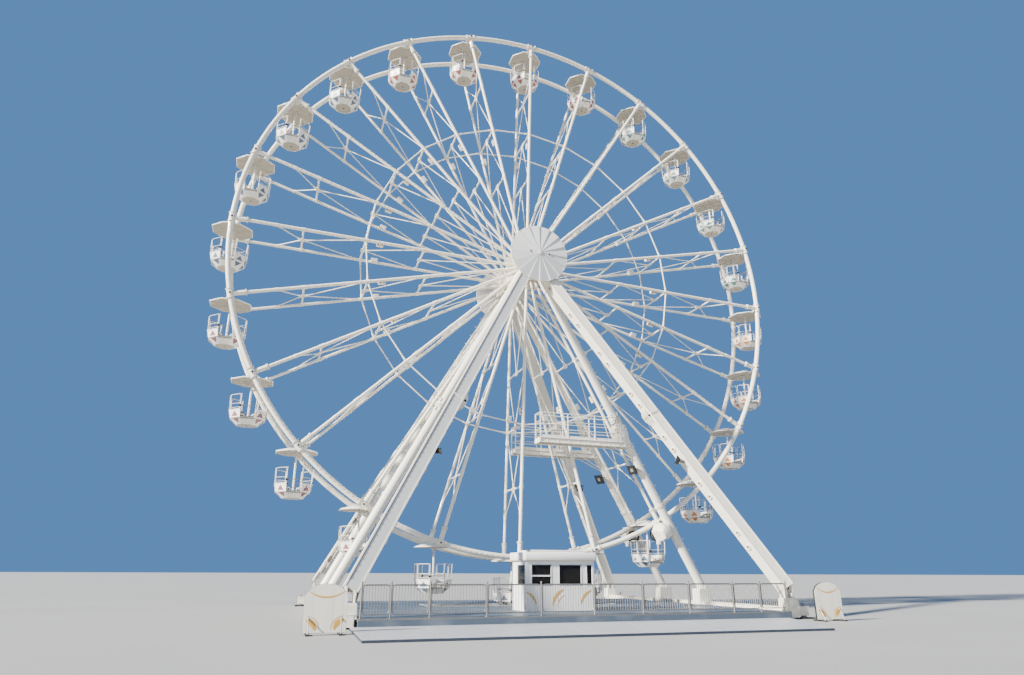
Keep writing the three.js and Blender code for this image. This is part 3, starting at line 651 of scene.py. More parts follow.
def hub():
    """The drum between two spoke flanges, with ribs and a ring of bolts."""
    shape = Shape()
    outline = [(0.24, -DRUM_HALF), (DRUM_R - 0.03, -DRUM_HALF), (DRUM_R, -DRUM_HALF + 0.04)]
    outline += [(radius, -height) for radius, height in reversed(outline)]
    shape.lathe(outline, ORIGIN, Y, 0, 48)
    for side in (-1, 1):
        y = side * SPOKE_HUB_Y
        low, high = y - FLANGE_HALF, y + FLANGE_HALF
        bore = DRUM_R - 0.05
        shape.hoop([(bore, low), (FLANGE_R, low), (FLANGE_R, high), (bore, high)], ORIGIN, Y)
        for face in (-1, 1):
            start = Y * (y + face * FLANGE_HALF)
            shape.bolts(start, Y * face, FLANGE_BOLT_R, FLANGE_BOLTS, 0.022, 0.03, 1, start=FIRST_ANGLE)
        for i in range(GONDOLAS):
            angle = node_angle(i + 0.5)
            out = on_wheel(1, angle)
            rib = out * 0.53 + Y * (y - side * 0.22)
            shape.block(rib, out * 0.13, on_wheel(0.01, angle + pi / 2), -Y * 0.13)
    return shape


def make_wheel():
    centre = Matrix.Translation(AXLE)
    for end, side in ENDS:
        mesh = mesh_of(f"rim_{end}", rim(side), "white black steel lens")
        place(f"rim_{end}_ring", mesh, "wheel", [f"rim_{end}"], centre)
    group = mesh_of("spoke_group", spoke_group(), "white black steel lens")
    for i in range(GONDOLAS // FRAMES_PER_GROUP):
        turn = Matrix.Rotation(-node_angle(i * FRAMES_PER_GROUP), 4, "Y")
        node = f"spokes_{i + 1}"
        place(f"{node}_frames", group, "wheel", [node], centre @ turn)
    drum = mesh_of("hub", hub(), "white black")
    place("hub_drum_and_flanges", drum, "wheel", ["hub_drum"], centre)


make_wheel()


# Gondolas: measured from the pivot, doors to the front and rear

SIDES = 8
CANOPY_R = 0.999
CANOPY_APEX = 0.128
CANOPY_EDGE = -0.13
CANOPY_FOOT = -0.18
TOP_RAIL = -0.91
MID_RAIL = -1.33
LOW_RAIL = -1.51
PANEL_TOP = -1.60
FOLD = -1.94
BOTTOM = -2.21
RAIL_R = 0.905
PANEL_R = 0.88
FOLD_R = 0.80
BOTTOM_R = 0.495
SKIN = 0.03
PANEL_FACES = (0, 1, 3, 4, 5, 7)
FLAT = cos(pi / SIDES)


def corner(index, radius, z):
    """A corner of the eight-sided gondola; face i lies between corners i and i + 1."""
    angle = (index - 0.5) * TURN / SIDES
    return vec(radius * cos(angle), radius * sin(angle), z)


def corners(i, radius, z):
    """Both corners of a face."""
    return corner(i, radius, z), corner(i + 1, radius, z)


def octagons(*rows):
    return [[corner(i, radius, z) for i in range(SIDES)] for radius, z in rows]


def canopy(shape):
    shape.skin(octagons(
        (CANOPY_R - 0.012, CANOPY_FOOT), (CANOPY_R, CANOPY_FOOT + 0.012), (CANOPY_R, CANOPY_EDGE - 0.008),
        (CANOPY_R - 0.02, CANOPY_EDGE + 0.004), (0.16, CANOPY_APEX - 0.03), (0.14, CANOPY_APEX)))
    # The canopy's lower face and its ribs take the dark beige of painted shade.
    shape.skin(octagons(
        (CANOPY_R - 0.04, CANOPY_FOOT - 0.002), (CANOPY_R - 0.045, CANOPY_FOOT + 0.012),
        (0.09, CANOPY_EDGE + 0.02)), 1)
    for i in range(SIDES):
        ridge = corner(i, CANOPY_R - 0.03, CANOPY_EDGE + 0.002), corner(i, 0.14, CANOPY_APEX - 0.012)
        shape.tube(*ridge, 0.012, 0, 6)
        rib = corner(i, 0.08, CANOPY_FOOT - 0.002), corner(i, CANOPY_R - 0.05, CANOPY_FOOT - 0.002)
        shape.tube(*rib, 0.014, 1, 6)


def tub(shape):
    """Floor pan and six panels, each with a fold; the two doorways stay open above the fold."""
    shape.skin(octagons(
        (BOTTOM_R - 0.012, BOTTOM + 0.002), (BOTTOM_R, BOTTOM + 0.012), (FOLD_R, FOLD),
        (FOLD_R - SKIN, FOLD), (BOTTOM_R - SKIN, BOTTOM + SKIN)))
    # The plate under the tub's floor takes the dark beige of painted shade.
    shape.skin(octagons((BOTTOM_R - 0.06, BOTTOM), (BOTTOM_R - 0.06, BOTTOM + 0.01)), 1)
    shape.tube(Z * (BOTTOM - 0.006), Z * (BOTTOM + 0.02), 0.045, 2, 16)
    for i in PANEL_FACES:
        rows = [corners(i, radius, z) for radius, z in (
            (FOLD_R - SKIN, FOLD), (PANEL_R - SKIN, PANEL_TOP), (PANEL_R, PANEL_TOP), (FOLD_R, FOLD))]
        shape.skin([list(ring) for ring in zip(*rows)])
        for seam in (i, i + 1):
            low = corner(seam, FOLD_R + 0.004, FOLD)
            shape.tube(low, corner(seam, PANEL_R + 0.004, PANEL_TOP), 0.012, 0, 6)
        shape.tube(*corners(i, FOLD_R + 0.003, FOLD), 0.009, 0, 6)
        shape.tube(*corners(i, PANEL_R, PANEL_TOP), 0.018, 0, 8)


def railing(shape):
    """A tube frame on each panel, with two rails, thin bars and a black corner post."""
    for i in PANEL_FACES:
        a_low, b_low = corners(i, PANEL_R - 0.01, PANEL_TOP)
        a_top, b_top = corners(i, RAIL_R - 0.01, TOP_RAIL)
        inset = (b_low - a_low).normalized() * 0.035
        hoop = [a_low + inset, a_top + inset, b_top - inset, b_low - inset]
        shape.path(rounded(hoop, 0.07, 4), 0.011, 0, 8)
        for z, radius in ((MID_RAIL, 0.008), (LOW_RAIL, 0.007)):
            share = (z - PANEL_TOP) / (TOP_RAIL - PANEL_TOP)
            shape.tube(lerp(a_low, a_top, share) + inset, lerp(b_low, b_top, share) - inset, radius, 0, 6)
        for share in (0.2, 0.4, 0.6, 0.8):
            low = lerp(a_low, b_low, share)
            shape.tube(low, lerp(low, lerp(a_top, b_top, share), 0.97), 0.005, 3, 4)
        post = a_low + inset * 0.4
        shape.tube(post, post + (a_top - a_low) * 0.4, 0.012, 2, 6)


def doorways(shape):
    """Door posts, two safety bars and the latch on each doorway."""
    for side in (-1, 1):
        y = side * (PANEL_R * FLAT - 0.01)
        sill = side * (FOLD_R * FLAT - 0.01)
        for x in (-0.315, 0.315):
            line = [vec(x, sill, FOLD), vec(x * 1.03, y, PANEL_TOP), vec(x * 1.05, y, TOP_RAIL + 0.02)]
            shape.path(rounded(line, 0.1), 0.013, 0, 8)
        for z, radius in ((MID_RAIL - 0.1, 0.014), (FOLD + 0.16, 0.012), (FOLD + 0.02, 0.016)):
            reach = lerp(sill, y, min(1, (z - FOLD) / (PANEL_TOP - FOLD)))
            shape.tube(vec(-0.32, reach, z), vec(0.32, reach, z), radius, 3, 8)
        shape.box(-0.375, y - 0.03, -1.50, -0.30, y + 0.03, -1.40, 2)
        shape.tube(vec(-0.33, y, -1.45), vec(-0.22, y, -1.45), 0.012, 2, 6)
        board = sill - side * 0.02
        shape.box(-0.31, board - 0.01, BOTTOM + 0.2, 0.31, board + 0.01, FOLD + 0.01, 3)


def seats(shape):
    """A bench on each side, its front board and its backrest, on the floor of the tub."""
    for i in (-1, 0, 1, 3, 4, 5):
        for inner, outer, z, depth in ((0.36, 0.72, -1.80, 0.035), (0.36, 0.39, -2.16, 0.36)):
            near, far = corners(i, inner, z), corners(i, outer, z)
            shape.sheet([near[0], far[0], far[1], near[1]], Z * depth)
    shape.sheet(octagons((0.46, BOTTOM + 0.035))[0], Z * 0.012, 3)


LUG = ((-0.075, CANOPY_FOOT), (0.075, CANOPY_FOOT), (0.092, -0.03), (0.075, 0.05), (0.03, 0.095),
       (-0.03, 0.095), (-0.075, 0.05), (-0.092, -0.03))
BUSH = ((0.068, -0.006), (0.074, 0), (0.074, 0.012), (0.068, 0.018))


def hangers(shape):
    """Lugs with their bushes at the canopy's front and rear edge, and the plate that spreads the load."""
    for side in (-1, 1):
        for near, far in ((0.925, 0.953), (0.985, 1.013)):
            shape.prism(LUG, Y * max(side * near, side * far), X, Z, far - near)
        shape.lathe(BUSH, Y * side * 1.005, Y * side, 2, 16)
        y = side * 0.93
        shape.box(-0.16, y - 0.06, CANOPY_EDGE - 0.012, 0.16, y + 0.04, CANOPY_EDGE + 0.03)
        low, high = sorted((side * 0.2, side * 0.9))
        shape.box(-0.05, low, CANOPY_EDGE - 0.03, 0.05, high, CANOPY_EDGE + 0.012)


# A collar at the pole's head, painted grey as the canopy's shadow on it
POLE_HEAD = ((0.06, -0.40), (0.075, -0.38), (0.075, -0.26), (0.12, -0.185), (0.12, -0.16))
POLE_FOOT = ((0.1, BOTTOM + 0.04), (0.1, BOTTOM + 0.06), (0.06, BOTTOM + 0.12))


def cabin():
    shape = Shape()
    canopy(shape)
    shape.tube(Z * (BOTTOM + 0.02), Z * CANOPY_EDGE, 0.046, 0, 16)
    # Painted shadow: the pole's head collar is grey where the canopy's shadow falls
    shape.lathe(POLE_HEAD, ORIGIN, Z, 4, 16)
    shape.lathe(POLE_FOOT, ORIGIN, Z, 0, 16)
    tub(shape)
    railing(shape)
    doorways(shape)
    seats(shape)
    hangers(shape)
    return shape


def panel_marks():
    """A pair of plain triangles on each panel: one up above the fold, one down below it."""
    shape = Shape()
    fold, top, foot = (FOLD_R, FOLD), (PANEL_R, PANEL_TOP), (BOTTOM_R, BOTTOM)
    for i in PANEL_FACES:
        for low, high, outline in (
                (fold, top, [(0.2, 0.14), (0.8, 0.14), (0.5, 0.84)]),
                (foot, fold, [(0.5, 0.2), (0.82, 0.88), (0.18, 0.88)])):
            a, b = corners(i, *low)
            c, d = corners(i, *high)
            out = (b - a).cross(c - a).normalized()
            flat = [lerp(lerp(a, b, s), lerp(c, d, s), t) - out * 0.002 for s, t in outline]
            shape.sheet(flat, out * 0.006)
    return shape


# Colours of the groups of four gondolas, starting with the second gondola
GROUP_ACCENTS = ("teal", "red", "slate", "mauve", "slate", "orange")


def make_gondolas():
    # The cabin's second finish is the dark beige of painted shade under it.
    body = mesh_of("cabin", cabin(), "gondola underside black steel grey")
    marks = panel_marks()
    mark_meshes = {name: mesh_of(f"marks_{name}", marks, name) for name in ACCENTS}
    for i, (name, hanger) in enumerate(zip(GONDOLA_NAMES, HANGERS)):
        at = Matrix.Translation(hanger)
        place(f"{name}_cabin", body, name, [name], at)
        mark = mark_meshes[GROUP_ACCENTS[(i - 1) // 4 % len(GROUP_ACCENTS)]]
        place(f"{name}_marks", mark, name, (), at)


make_gondolas()


# Axle heads and covers

HEAD_R = 0.56
HEAD_INNER = 1.45
HEAD_OUTER = 3.12
COVER_R = 1.56
HEAD_PROFILE = (
    (HEAD_R - 0.03, HEAD_INNER), (HEAD_R, HEAD_INNER + 0.03), (HEAD_R, 1.72), (HEAD_R - 0.02, 1.74),
    (HEAD_R - 0.02, 1.80), (HEAD_R, 1.82), (HEAD_R, HEAD_OUTER - 0.16), (HEAD_R - 0.02, HEAD_OUTER - 0.14),
    (HEAD_R - 0.02, HEAD_OUTER - 0.002))


def tower_heads():
    shape = Shape()
    shape.tube(-Y * (HEAD_INNER + 0.02), Y * (HEAD_INNER + 0.02), 0.23, 0, 32)
    for way in (-Y, Y):
        shape.lathe(HEAD_PROFILE, ORIGIN, way, 0, 48)
        for y in (1.69, HEAD_OUTER - 0.19):
            shape.bolts(way * y, way, HEAD_R - 0.005, 20, 0.018, 0.05, 1)
        shape.bolts(way * HEAD_INNER, -way, HEAD_R - 0.09, 16, 0.022, 0.025, 1)
    return shape


PLEATS = 16
PLEAT_STEP = 0.05
PLEAT_PARTS = 6
COVER_EDGE = 0.07
COVER_RISE = 0.13


def cover():
    """A shallow cone of overlapping fan panels, as seen from the front, with its back at height 0."""
    shape = Shape()
    n = PLEAT_PARTS + 1
    for i in range(PLEATS):
        inner, outer, low = [], [], []
        for k in range(n):
            lift = PLEAT_STEP * (1 - k / PLEAT_PARTS)
            angle = TURN * (i + k / PLEAT_PARTS) / PLEATS
            inner.append(on_wheel(0.10, angle, -(COVER_EDGE + COVER_RISE - 0.03 + lift * 0.2)))
            outer.append(on_wheel(COVER_R - 0.004, angle, -(COVER_EDGE - 0.045 + lift)))
            low.append(on_wheel(COVER_R - 0.004, angle))
        faces = [[row + k, row + n + k, row + n + k + 1, row + k + 1] for row in (0, n) for k in range(n - 1)]
        faces += [[2 * n, n, 0], [2 * n - 1, 3 * n - 1, n - 1]]
        shape.add([*inner, *outer, *low], faces, 0, True)
    shape.lathe(((0.13, 0.17), (0.13, 0.188), (0.10, 0.198)), ORIGIN, -Y, 0, 32)
    for inner, outer, low, high, finish, segments in (
            (COVER_R - 0.04, COVER_R, 0, 0.045, 0, 96), (0.05, COVER_R - 0.03, 0.001, 0.02, 1, 48)):
        section = [(inner, low), (outer, low), (outer, high), (inner, high)]
        shape.hoop(section, ORIGIN, -Y, finish, segments)
    for x, z in ((-0.52, 0.02), (0.52, -0.02)):
        shape.box(x - 0.018, -(COVER_EDGE + 0.105), z - 0.05, x + 0.018, -COVER_EDGE, z + 0.05, 2)
        bar = vec(x, -COVER_EDGE - 0.09, z)
        shape.tube(bar - X * 0.04, bar + X * 0.04, 0.014, 2, 8)
    return shape


def make_heads():
    centre = Matrix.Translation(AXLE)
    heads = mesh_of("tower_heads", tower_heads(), "cream black")
    place("tower_heads", heads, "base", ["axle_and_heads"], centre)
    mesh = mesh_of("cover", cover(), "cover grey black")
    for end, side in ENDS:
        turn = Matrix.Rotation(0 if side < 0 else pi, 4, "Z")
        at = centre @ Matrix.Translation(Y * side * (HEAD_OUTER + GAP)) @ turn
        place(f"hub_cover_{end}_fan", mesh, "base", [f"hub_cover_{end}"], at)


make_heads()


# Legs

LEG_TOP_Y = 2.25
LEG_FOOT = vec(8.9, 8.1, 1.22)
LEG_WIDTH = 0.53
LEG_DEPTH = 0.49
LEFT_LEG_TURN = radians(6)


class Leg:
    """The line of a main leg and its own directions: across its width, out to the front, and along."""

    def __init__(self, sx, sy):
        self.sx, self.sy = sx, sy
        top = vec(0, sy * LEG_TOP_Y, AXLE.z)
        self.foot = vec(sx * LEG_FOOT.x, sy * LEG_FOOT.y, LEG_FOOT.z)
        self.along = (top - self.foot).normalized()
        self.length = (top - self.foot).length
        turn = -sy * LEFT_LEG_TURN if sx < 0 else 0
        self.across = basis(self.along, vec(cos(turn), sin(turn), 0))[0]
        self.out = self.across.cross(self.along)

    def at(self, along, across=0.0, out=0.0):
        return self.foot + self.along * along + self.across * across + self.out * out

    def slab(self, shape, start, end, across, out, half_across, half_out, finish=0):
        middle = self.at((start + end) / 2, across, out)
        half_along = self.along * (end - start) / 2
        shape.block(middle, self.across * half_across, half_along, self.out * half_out, finish)


PORT_FIRST = 2.4
PORT_SPACING = 2.56
PORT_PAIR = 0.35
JOINT_AT = 0.468
KNUCKLE = ((-0.55, -0.01), (-0.15, 0.19), (0.12, 0.19), (0.5, -0.01))
LEG_LAMP_STEP = 0.24


def port(shape, leg, along, side):
    """A short lifting socket on the narrow face; a dark disc inside it is painted shade for its hole."""
    way = leg.across * side
    centre = leg.at(along, side * LEG_WIDTH / 2)
    shape.hoop([(0.075, -0.01), (0.115, -0.01), (0.115, 0.045), (0.075, 0.045)], centre, way, 0, 24)
    # A dark disc of painted shade, in place of the socket's hole
    shape.tube(centre, centre + way * 0.004, 0.076, 4, 16)


def leg_joint(shape, leg):
    """The folding joint part way up: knuckle plates, pins and a band round the box."""
    along = leg.length * JOINT_AT
    side = -leg.sx
    base = side * LEG_WIDTH / 2
    for out in (-0.17, -0.06, 0.06, 0.17):
        plate = [leg.at(along + a, base + side * b, out - 0.012) for a, b in KNUCKLE]
        shape.sheet(plate, leg.out * 0.024)
    pin = leg.at(along - 0.02, base + side * 0.1, -0.21)
    shape.tube(pin, pin + leg.out * 0.42, 0.055, 1, 16)
    for start in (along - 0.047, along + 0.023):
        leg.slab(shape, start, start + 0.024, 0, 0, LEG_WIDTH / 2 + 0.012, LEG_DEPTH / 2 + 0.012)


def leg_shaft(leg):
    """The box with its corner angles and side plates, the joint, the ports and a strip of lamps."""
    shape = Shape()
    half_w, half_d = LEG_WIDTH / 2, LEG_DEPTH / 2
    start, end = -0.02, leg.length - 0.12
    leg.slab(shape, start, end, 0, 0, half_w - 0.012, half_d - 0.012, 3 if leg.sx < 0 else 0)
    for side in (-1, 1):
        leg.slab(shape, start, end, side * (half_w - 0.008), 0, 0.008, half_d - 0.05)
        for side_d in (-1, 1):
            leg.slab(shape, start, end, side * (half_w - 0.025), side_d * (half_d - 0.025), 0.027, 0.027)
    leg_joint(shape, leg)
    for k in range(int((end - PORT_FIRST) / PORT_SPACING) + 1):
        for shift in (-PORT_PAIR, PORT_PAIR):
            port(shape, leg, PORT_FIRST + k * PORT_SPACING + shift, -leg.sx)
    if leg.sx < 0:
        edge = 0.062 - half_w
        leg.slab(shape, 0.2, end - 0.4, edge, half_d - 0.006, 0.014, 0.010, 1)
        for k in range(int((end - 0.8) / LEG_LAMP_STEP) + 1):
            cap = leg.at(0.3 + k * LEG_LAMP_STEP, edge, half_d + 0.002)
            shape.tube(cap, cap + leg.out * 0.016, 0.024, 2, 8, end=0.015)
    return shape


FOOT_SEAT = 0.7604
FOOT_PLATE = ((-0.19, 0.0), (0.19, 0.0), (0.19, 0.40), (0.09, 0.62), (-0.09, 0.62), (-0.19, 0.40))


def leg_foot(leg):
    """Two knuckle plates with a pin, on a foot plate, and a strut that steadies them."""
    shape = Shape()
    x, y, z = leg.foot
    seat = FOOT_SEAT + 0.04
    shape.box(x - 0.23, y - 0.23, FOOT_SEAT, x + 0.23, y + 0.23, seat + 0.005)
    shape.bolts(vec(x, y, seat + 0.005), Z, 0.275, 4, 0.03, 0.03, 1, hint=X, start=pi / 4)
    for shift in (-0.15, 0.15):
        shape.prism(FOOT_PLATE, vec(x + shift - 0.04, y, seat), Y, Z, 0.08)
        for rib in (((0.19, 0), (0.23, 0), (0.19, 0.2)), ((-0.23, 0), (-0.19, 0), (-0.19, 0.2))):
            shape.prism(rib, vec(x + shift - 0.01, y, seat), Y, Z, 0.02)
    shape.tube(leg.foot - X * 0.25, leg.foot + X * 0.25, 0.075, 1, 20)
    for way in (-X, X):
        shape.tube(leg.foot + way * 0.25, leg.foot + way * 0.28, 0.045, 1, 6, smooth=False)
    shape.tube(vec(x - leg.sx * 0.2, y, seat + 0.02), leg.at(0.85) - X * leg.sx * 0.14, 0.035, 4, 12)
    return shape


RUNG_STEP = 0.3
LADDER_RAILS = (-0.05, 0.22)
LADDER_STAND = 0.11
BRACKET_STEP = 0.8


def leg_ladder(leg):
    """A ladder on the face of a leg that looks towards the wheel."""
    shape = Shape()
    way = leg.sy
    face = way * LEG_DEPTH / 2
    stand = face + way * LADDER_STAND
    start, end = 1.0, leg.length - 2.2
    for across in LADDER_RAILS:
        shape.tube(leg.at(start, across, stand), leg.at(end, across, stand), 0.022, 0, 8)
    for k in range(int((end - start) / RUNG_STEP)):
        at = start + 0.15 + k * RUNG_STEP
        shape.tube(*(leg.at(at, across, stand) for across in LADDER_RAILS), 0.014, 0, 6)
        if k % 8 == 0:
            for across in LADDER_RAILS:
                shape.tube(leg.at(at, across, face - way * 0.01), leg.at(at, across, stand), 0.016, 0, 6)
    return shape


def leg_trunking(leg):
    """Cable trunking with brackets and boxes on the face of the leg beside its ladder."""
    shape = Shape()
    way = leg.sy
    face = way * LEG_DEPTH / 2
    end = leg.length - 1.4
    leg.slab(shape, 0.6, end, -0.19, face + way * 0.035, 0.05, 0.03)
    leg.slab(shape, 0.6, end, -0.11, face + way * 0.02, 0.02, 0.015, 1)
    for k in range(int((end - 1.2) / BRACKET_STEP)):
        at = 1.2 + k * BRACKET_STEP
        leg.slab(shape, at - 0.03, at + 0.03, -0.16, face + way * 0.04, 0.1, 0.035, 2)
        if k % 3 == 0:
            leg.slab(shape, at + 0.12, at + 0.42, -0.16, face + way * 0.09, 0.07, 0.055, 1)
    return shape


def make_legs():
    for end, sy in ENDS:
        for hand, sx in HANDS:
            leg = Leg(sx, sy)
            node = f"leg_{end}_{hand}"
            # The shaft's last finish is the painted shade inside its sockets
            shaft = "cream black blue_lens grey shade"
            make(f"{node}_shaft", leg_shaft(leg), shaft, [node], 0.006)
            make(f"{node}_foot", leg_foot(leg), "cream steel black grey steel", [], 0.005)
    leg = Leg(-1, 1)
    make("ladder_rear_left", leg_ladder(leg), "white")
    make("trunking_rear_left", leg_trunking(leg), "cream steel grey", [], 0.003)


make_legs()


# Masts, platforms and drives: made for the rear right and mirrored

MAST_TOP = vec(0.295, 1.85, 17.2)
MAST_FOOT = vec(9.07, 1.85, 0.98)
MAST_R = 0.215
MAST_Y = MAST_FOOT.y
FLANGE_Z = 9.22
COLLAR_Z = 4.98
PEGS = 26
PEG_FIRST = 2.2
PEG_STEP = 0.52
MAST_SEAT = 0.9804
MAST_PLATE = (9.0, 0.31)


def mast_at(z):
    return lerp(MAST_TOP, MAST_FOOT, (MAST_TOP.z - z) / (MAST_TOP.z - MAST_FOOT.z))


def mast():
    """A round mast with a bolted flange, a collar, climbing pegs and a ribbed foot."""
    shape = Shape()
    down = (MAST_FOOT - MAST_TOP).normalized()
    across = basis(down, X)[0]
    u, v, w = basis(down, Y)
    plate_top = MAST_SEAT + 0.05
    top = circle(mast_at(17.05), u, v, MAST_R, 28)
    shape.skin([top, [p + w * ((plate_top - 0.01 - p.z) / w.z) for p in top]], 0, True)
    for high, low, proud in (
            (16.6, 15.9, 0.03), (COLLAR_Z + 0.06, COLLAR_Z - 0.06, 0.035),
            (FLANGE_Z + 0.085, FLANGE_Z + 0.015, 0.085), (FLANGE_Z - 0.015, FLANGE_Z - 0.085, 0.085)):
        shape.tube(mast_at(high), mast_at(low), MAST_R + proud, 0, 28)
    shape.bolts(mast_at(FLANGE_Z + 0.1), down, MAST_R + 0.055, 16, 0.018, 0.23, 1)
    for out in circle(ORIGIN, u, v, 1, 8):
        for z in (FLANGE_Z + 0.22, FLANGE_Z - 0.22):
            shape.block(mast_at(z) + out * (MAST_R + 0.02), out * 0.04, w.cross(out) * 0.008, w * 0.11)
    for k in range(PEGS):
        peg = mast_at(PEG_FIRST + k * PEG_STEP) + across * (MAST_R - 0.01)
        shape.tube(peg, peg + across * 0.15, 0.013, 0, 8)
        shape.tube(peg + across * 0.13, peg + across * 0.15, 0.022, 0, 8)
    x, half = MAST_PLATE
    shape.box(x - half, MAST_Y - half, MAST_SEAT, x + half, MAST_Y + half, plate_top)
    shape.bolts(vec(x, MAST_Y, plate_top), Z, 0.38, 4, 0.022, 0.025, 1, hint=X, start=pi / 4)
    for rib in (((-0.3, 0), (-0.2, 0), (-0.2, 0.26)), ((0.2, 0), (0.3, 0), (0.2, 0.26))):
        shape.prism(rib, vec(MAST_FOOT.x - 0.01, MAST_Y, plate_top - 0.005), Y, Z, 0.02)
    return shape


STAND_Z = 8.035
STAND_FOOT = STAND_Z - 0.25
STAND_X0 = 0.30
STAND_X1 = 5.22
STAND_STOP = 4.98
STAND_Y0 = 1.475
STAND_Y1 = 2.225
GRATING_BARS = 51
GRATING_STEP = 0.09
GUARD_Z = 9.29
GUARD_XS = (0.345, 1.815, 3.285, 4.745)
GUARD_YS = (STAND_Y0 + 0.04, STAND_Y1 - 0.04)
BRACKET = ((5.02, 7.80), (5.24, 7.80), (5.24, 8.30), (5.10, 8.95), (4.55, 9.02), (4.42, 8.62), (4.62, 8.14),
           (4.90, 8.06))


def platform():
    """A grating between two deep side channels, with a guard rail on three sides."""
    shape = Shape()
    foot, top, near, far = STAND_FOOT, STAND_Z, STAND_Y0, STAND_Y1
    for web in (near + 0.055, far - 0.055):
        shape.box(STAND_X0, web - 0.01, foot + 0.01, STAND_X1, web + 0.01, top - 0.01)
    for flange in (near + 0.045, far - 0.045):
        for z in (foot, top - 0.034):
            shape.box(STAND_X0, flange - 0.045, z, STAND_X1, flange + 0.045, z + 0.032)
    shape.box(STAND_X0, near, foot, STAND_X0 + 0.05, far, top - 0.003)
    shape.box(STAND_STOP - 0.05, near + 0.01, foot + 0.04, STAND_STOP, far - 0.01, top - 0.03)
    for x in spread(STAND_X0 + 0.4, STAND_STOP - 0.4, 8):
        shape.box(x, near + 0.03, foot + 0.06, x + 0.05, far - 0.03, top - 0.05)
    shape.box(STAND_X0 + 0.02, near + 0.02, top - 0.04, STAND_STOP, far - 0.02, top - 0.012, 1)
    for i in range(GRATING_BARS):
        x = STAND_X0 + 0.06 + i * GRATING_STEP
        shape.box(x, near + 0.04, top - 0.014, x + 0.016, far - 0.04, top, 1)
    start, end = GUARD_XS[0], GUARD_XS[-1]
    for y in GUARD_YS:
        shape.box(start, y - 0.006, top, end, y + 0.006, top + 0.13)
        for x in GUARD_XS:
            shape.box(x - 0.022, y - 0.022, top - 0.02, x + 0.022, y + 0.022, GUARD_Z - 0.02)
            shape.box(x - 0.05, y - 0.035, top - 0.004, x + 0.05, y + 0.035, top + 0.014)
    for z, radius in ((GUARD_Z - 0.022, 0.022), (GUARD_Z - 0.43, 0.014), (GUARD_Z - 0.83, 0.014)):
        for y in GUARD_YS:
            shape.tube(vec(start, y, z), vec(end, y, z), radius)
        shape.tube(*(vec(start, y, z) for y in GUARD_YS), radius)
    return shape


def mast_bracket():
    """Two plates on the sides of the mast that carry the platform, with a pin, a hook and struts."""
    shape = Shape()
    for y in (MAST_Y - 0.235, MAST_Y + 0.255):
        shape.prism(BRACKET, Y * y, X, Z, 0.02)
    for z in (7.8, 8.85):
        shape.tube(mast_at(z + 0.05), mast_at(z - 0.05), MAST_R + 0.04, 0, 28)
    for x, z in ((-0.38, 8.55), (-0.36, 8.22), (-0.25, 7.90), (0.22, 8.85)):
        pin = mast_at(z) + X * x
        shape.tube(pin - Y * 0.30, pin + Y * 0.30, 0.032, 1, 12)
    hook = [(0.05, -0.014), (0.08, -0.014), (0.08, 0.014), (0.05, 0.014)]
    shape.hoop(hook, mast_at(8.88) + X * 0.36, Y, 1, 20)
    low = mast_at(7.15)
    for y in (STAND_Y0 + 0.1, STAND_Y1 - 0.1):
        shape.tube(vec(low.x - 0.12, lerp(low.y, y, 0.55), low.z), vec(4.3, y, STAND_FOOT + 0.02), 0.028)
    return shape


TYRE_R = 0.32
TYRE_HALF = 0.115
TYRE_GAP = 0.006
TREAD_BLOCKS = 36
DRIVE_ANGLE = radians(-63.1)
TYRE_AT = on_wheel((RING_R + RING_TUBE) / cos(pi / 48) + TYRE_GAP + TYRE_R, DRIVE_ANGLE, RING_Y) + Z * AXLE.z
HOUSING = ((-0.12, -0.34), (0.22, -0.25), (0.55, 0.01), (0.30, 0.53), (-0.20, 0.50), (-0.38, 0.12))
HOUSING_INNER = 1.40
HOUSING_SHOULDER = 1.98
HOUSING_OUTER = 2.26
HOUSING_TAPER = 0.62


def symmetric(half_section):
    """A ring's section from its lower half, as (radius, height) points."""
    return [*half_section, *((r, -h) for r, h in reversed(half_section) if h)]


def tyre():
    shape = Shape()
    half = TYRE_HALF
    tread = [(0.17, 0.03 - half), (0.25, -half), (0.29, 0.004 - half), (0.316, 0.035 - half), (TYRE_R, 0)]
    shape.hoop(symmetric(tread), TYRE_AT, Y)
    for i in range(TREAD_BLOCKS):
        angle = TURN * i / TREAD_BLOCKS
        way = on_wheel(1, angle)
        block = TYRE_AT + way * (TYRE_R - 0.006)
        shape.block(block, on_wheel(0.009, angle + pi / 2), -Y * (half - 0.045), way * 0.005)
    wheel = [(0.06, -0.02), (0.14, -0.02), (0.17, 0.02 - half), (0.19, 0.02 - half)]
    shape.hoop(symmetric(wheel), TYRE_AT, Y, 1, 32)
    shape.tube(TYRE_AT - Y * 0.06, vec(TYRE_AT.x, HOUSING_INNER + 0.02, TYRE_AT.z), 0.065, 1, 16)
    shape.bolts(TYRE_AT - Y * 0.035, -Y, 0.1, 6, 0.013, 0.018, 2)
    return shape


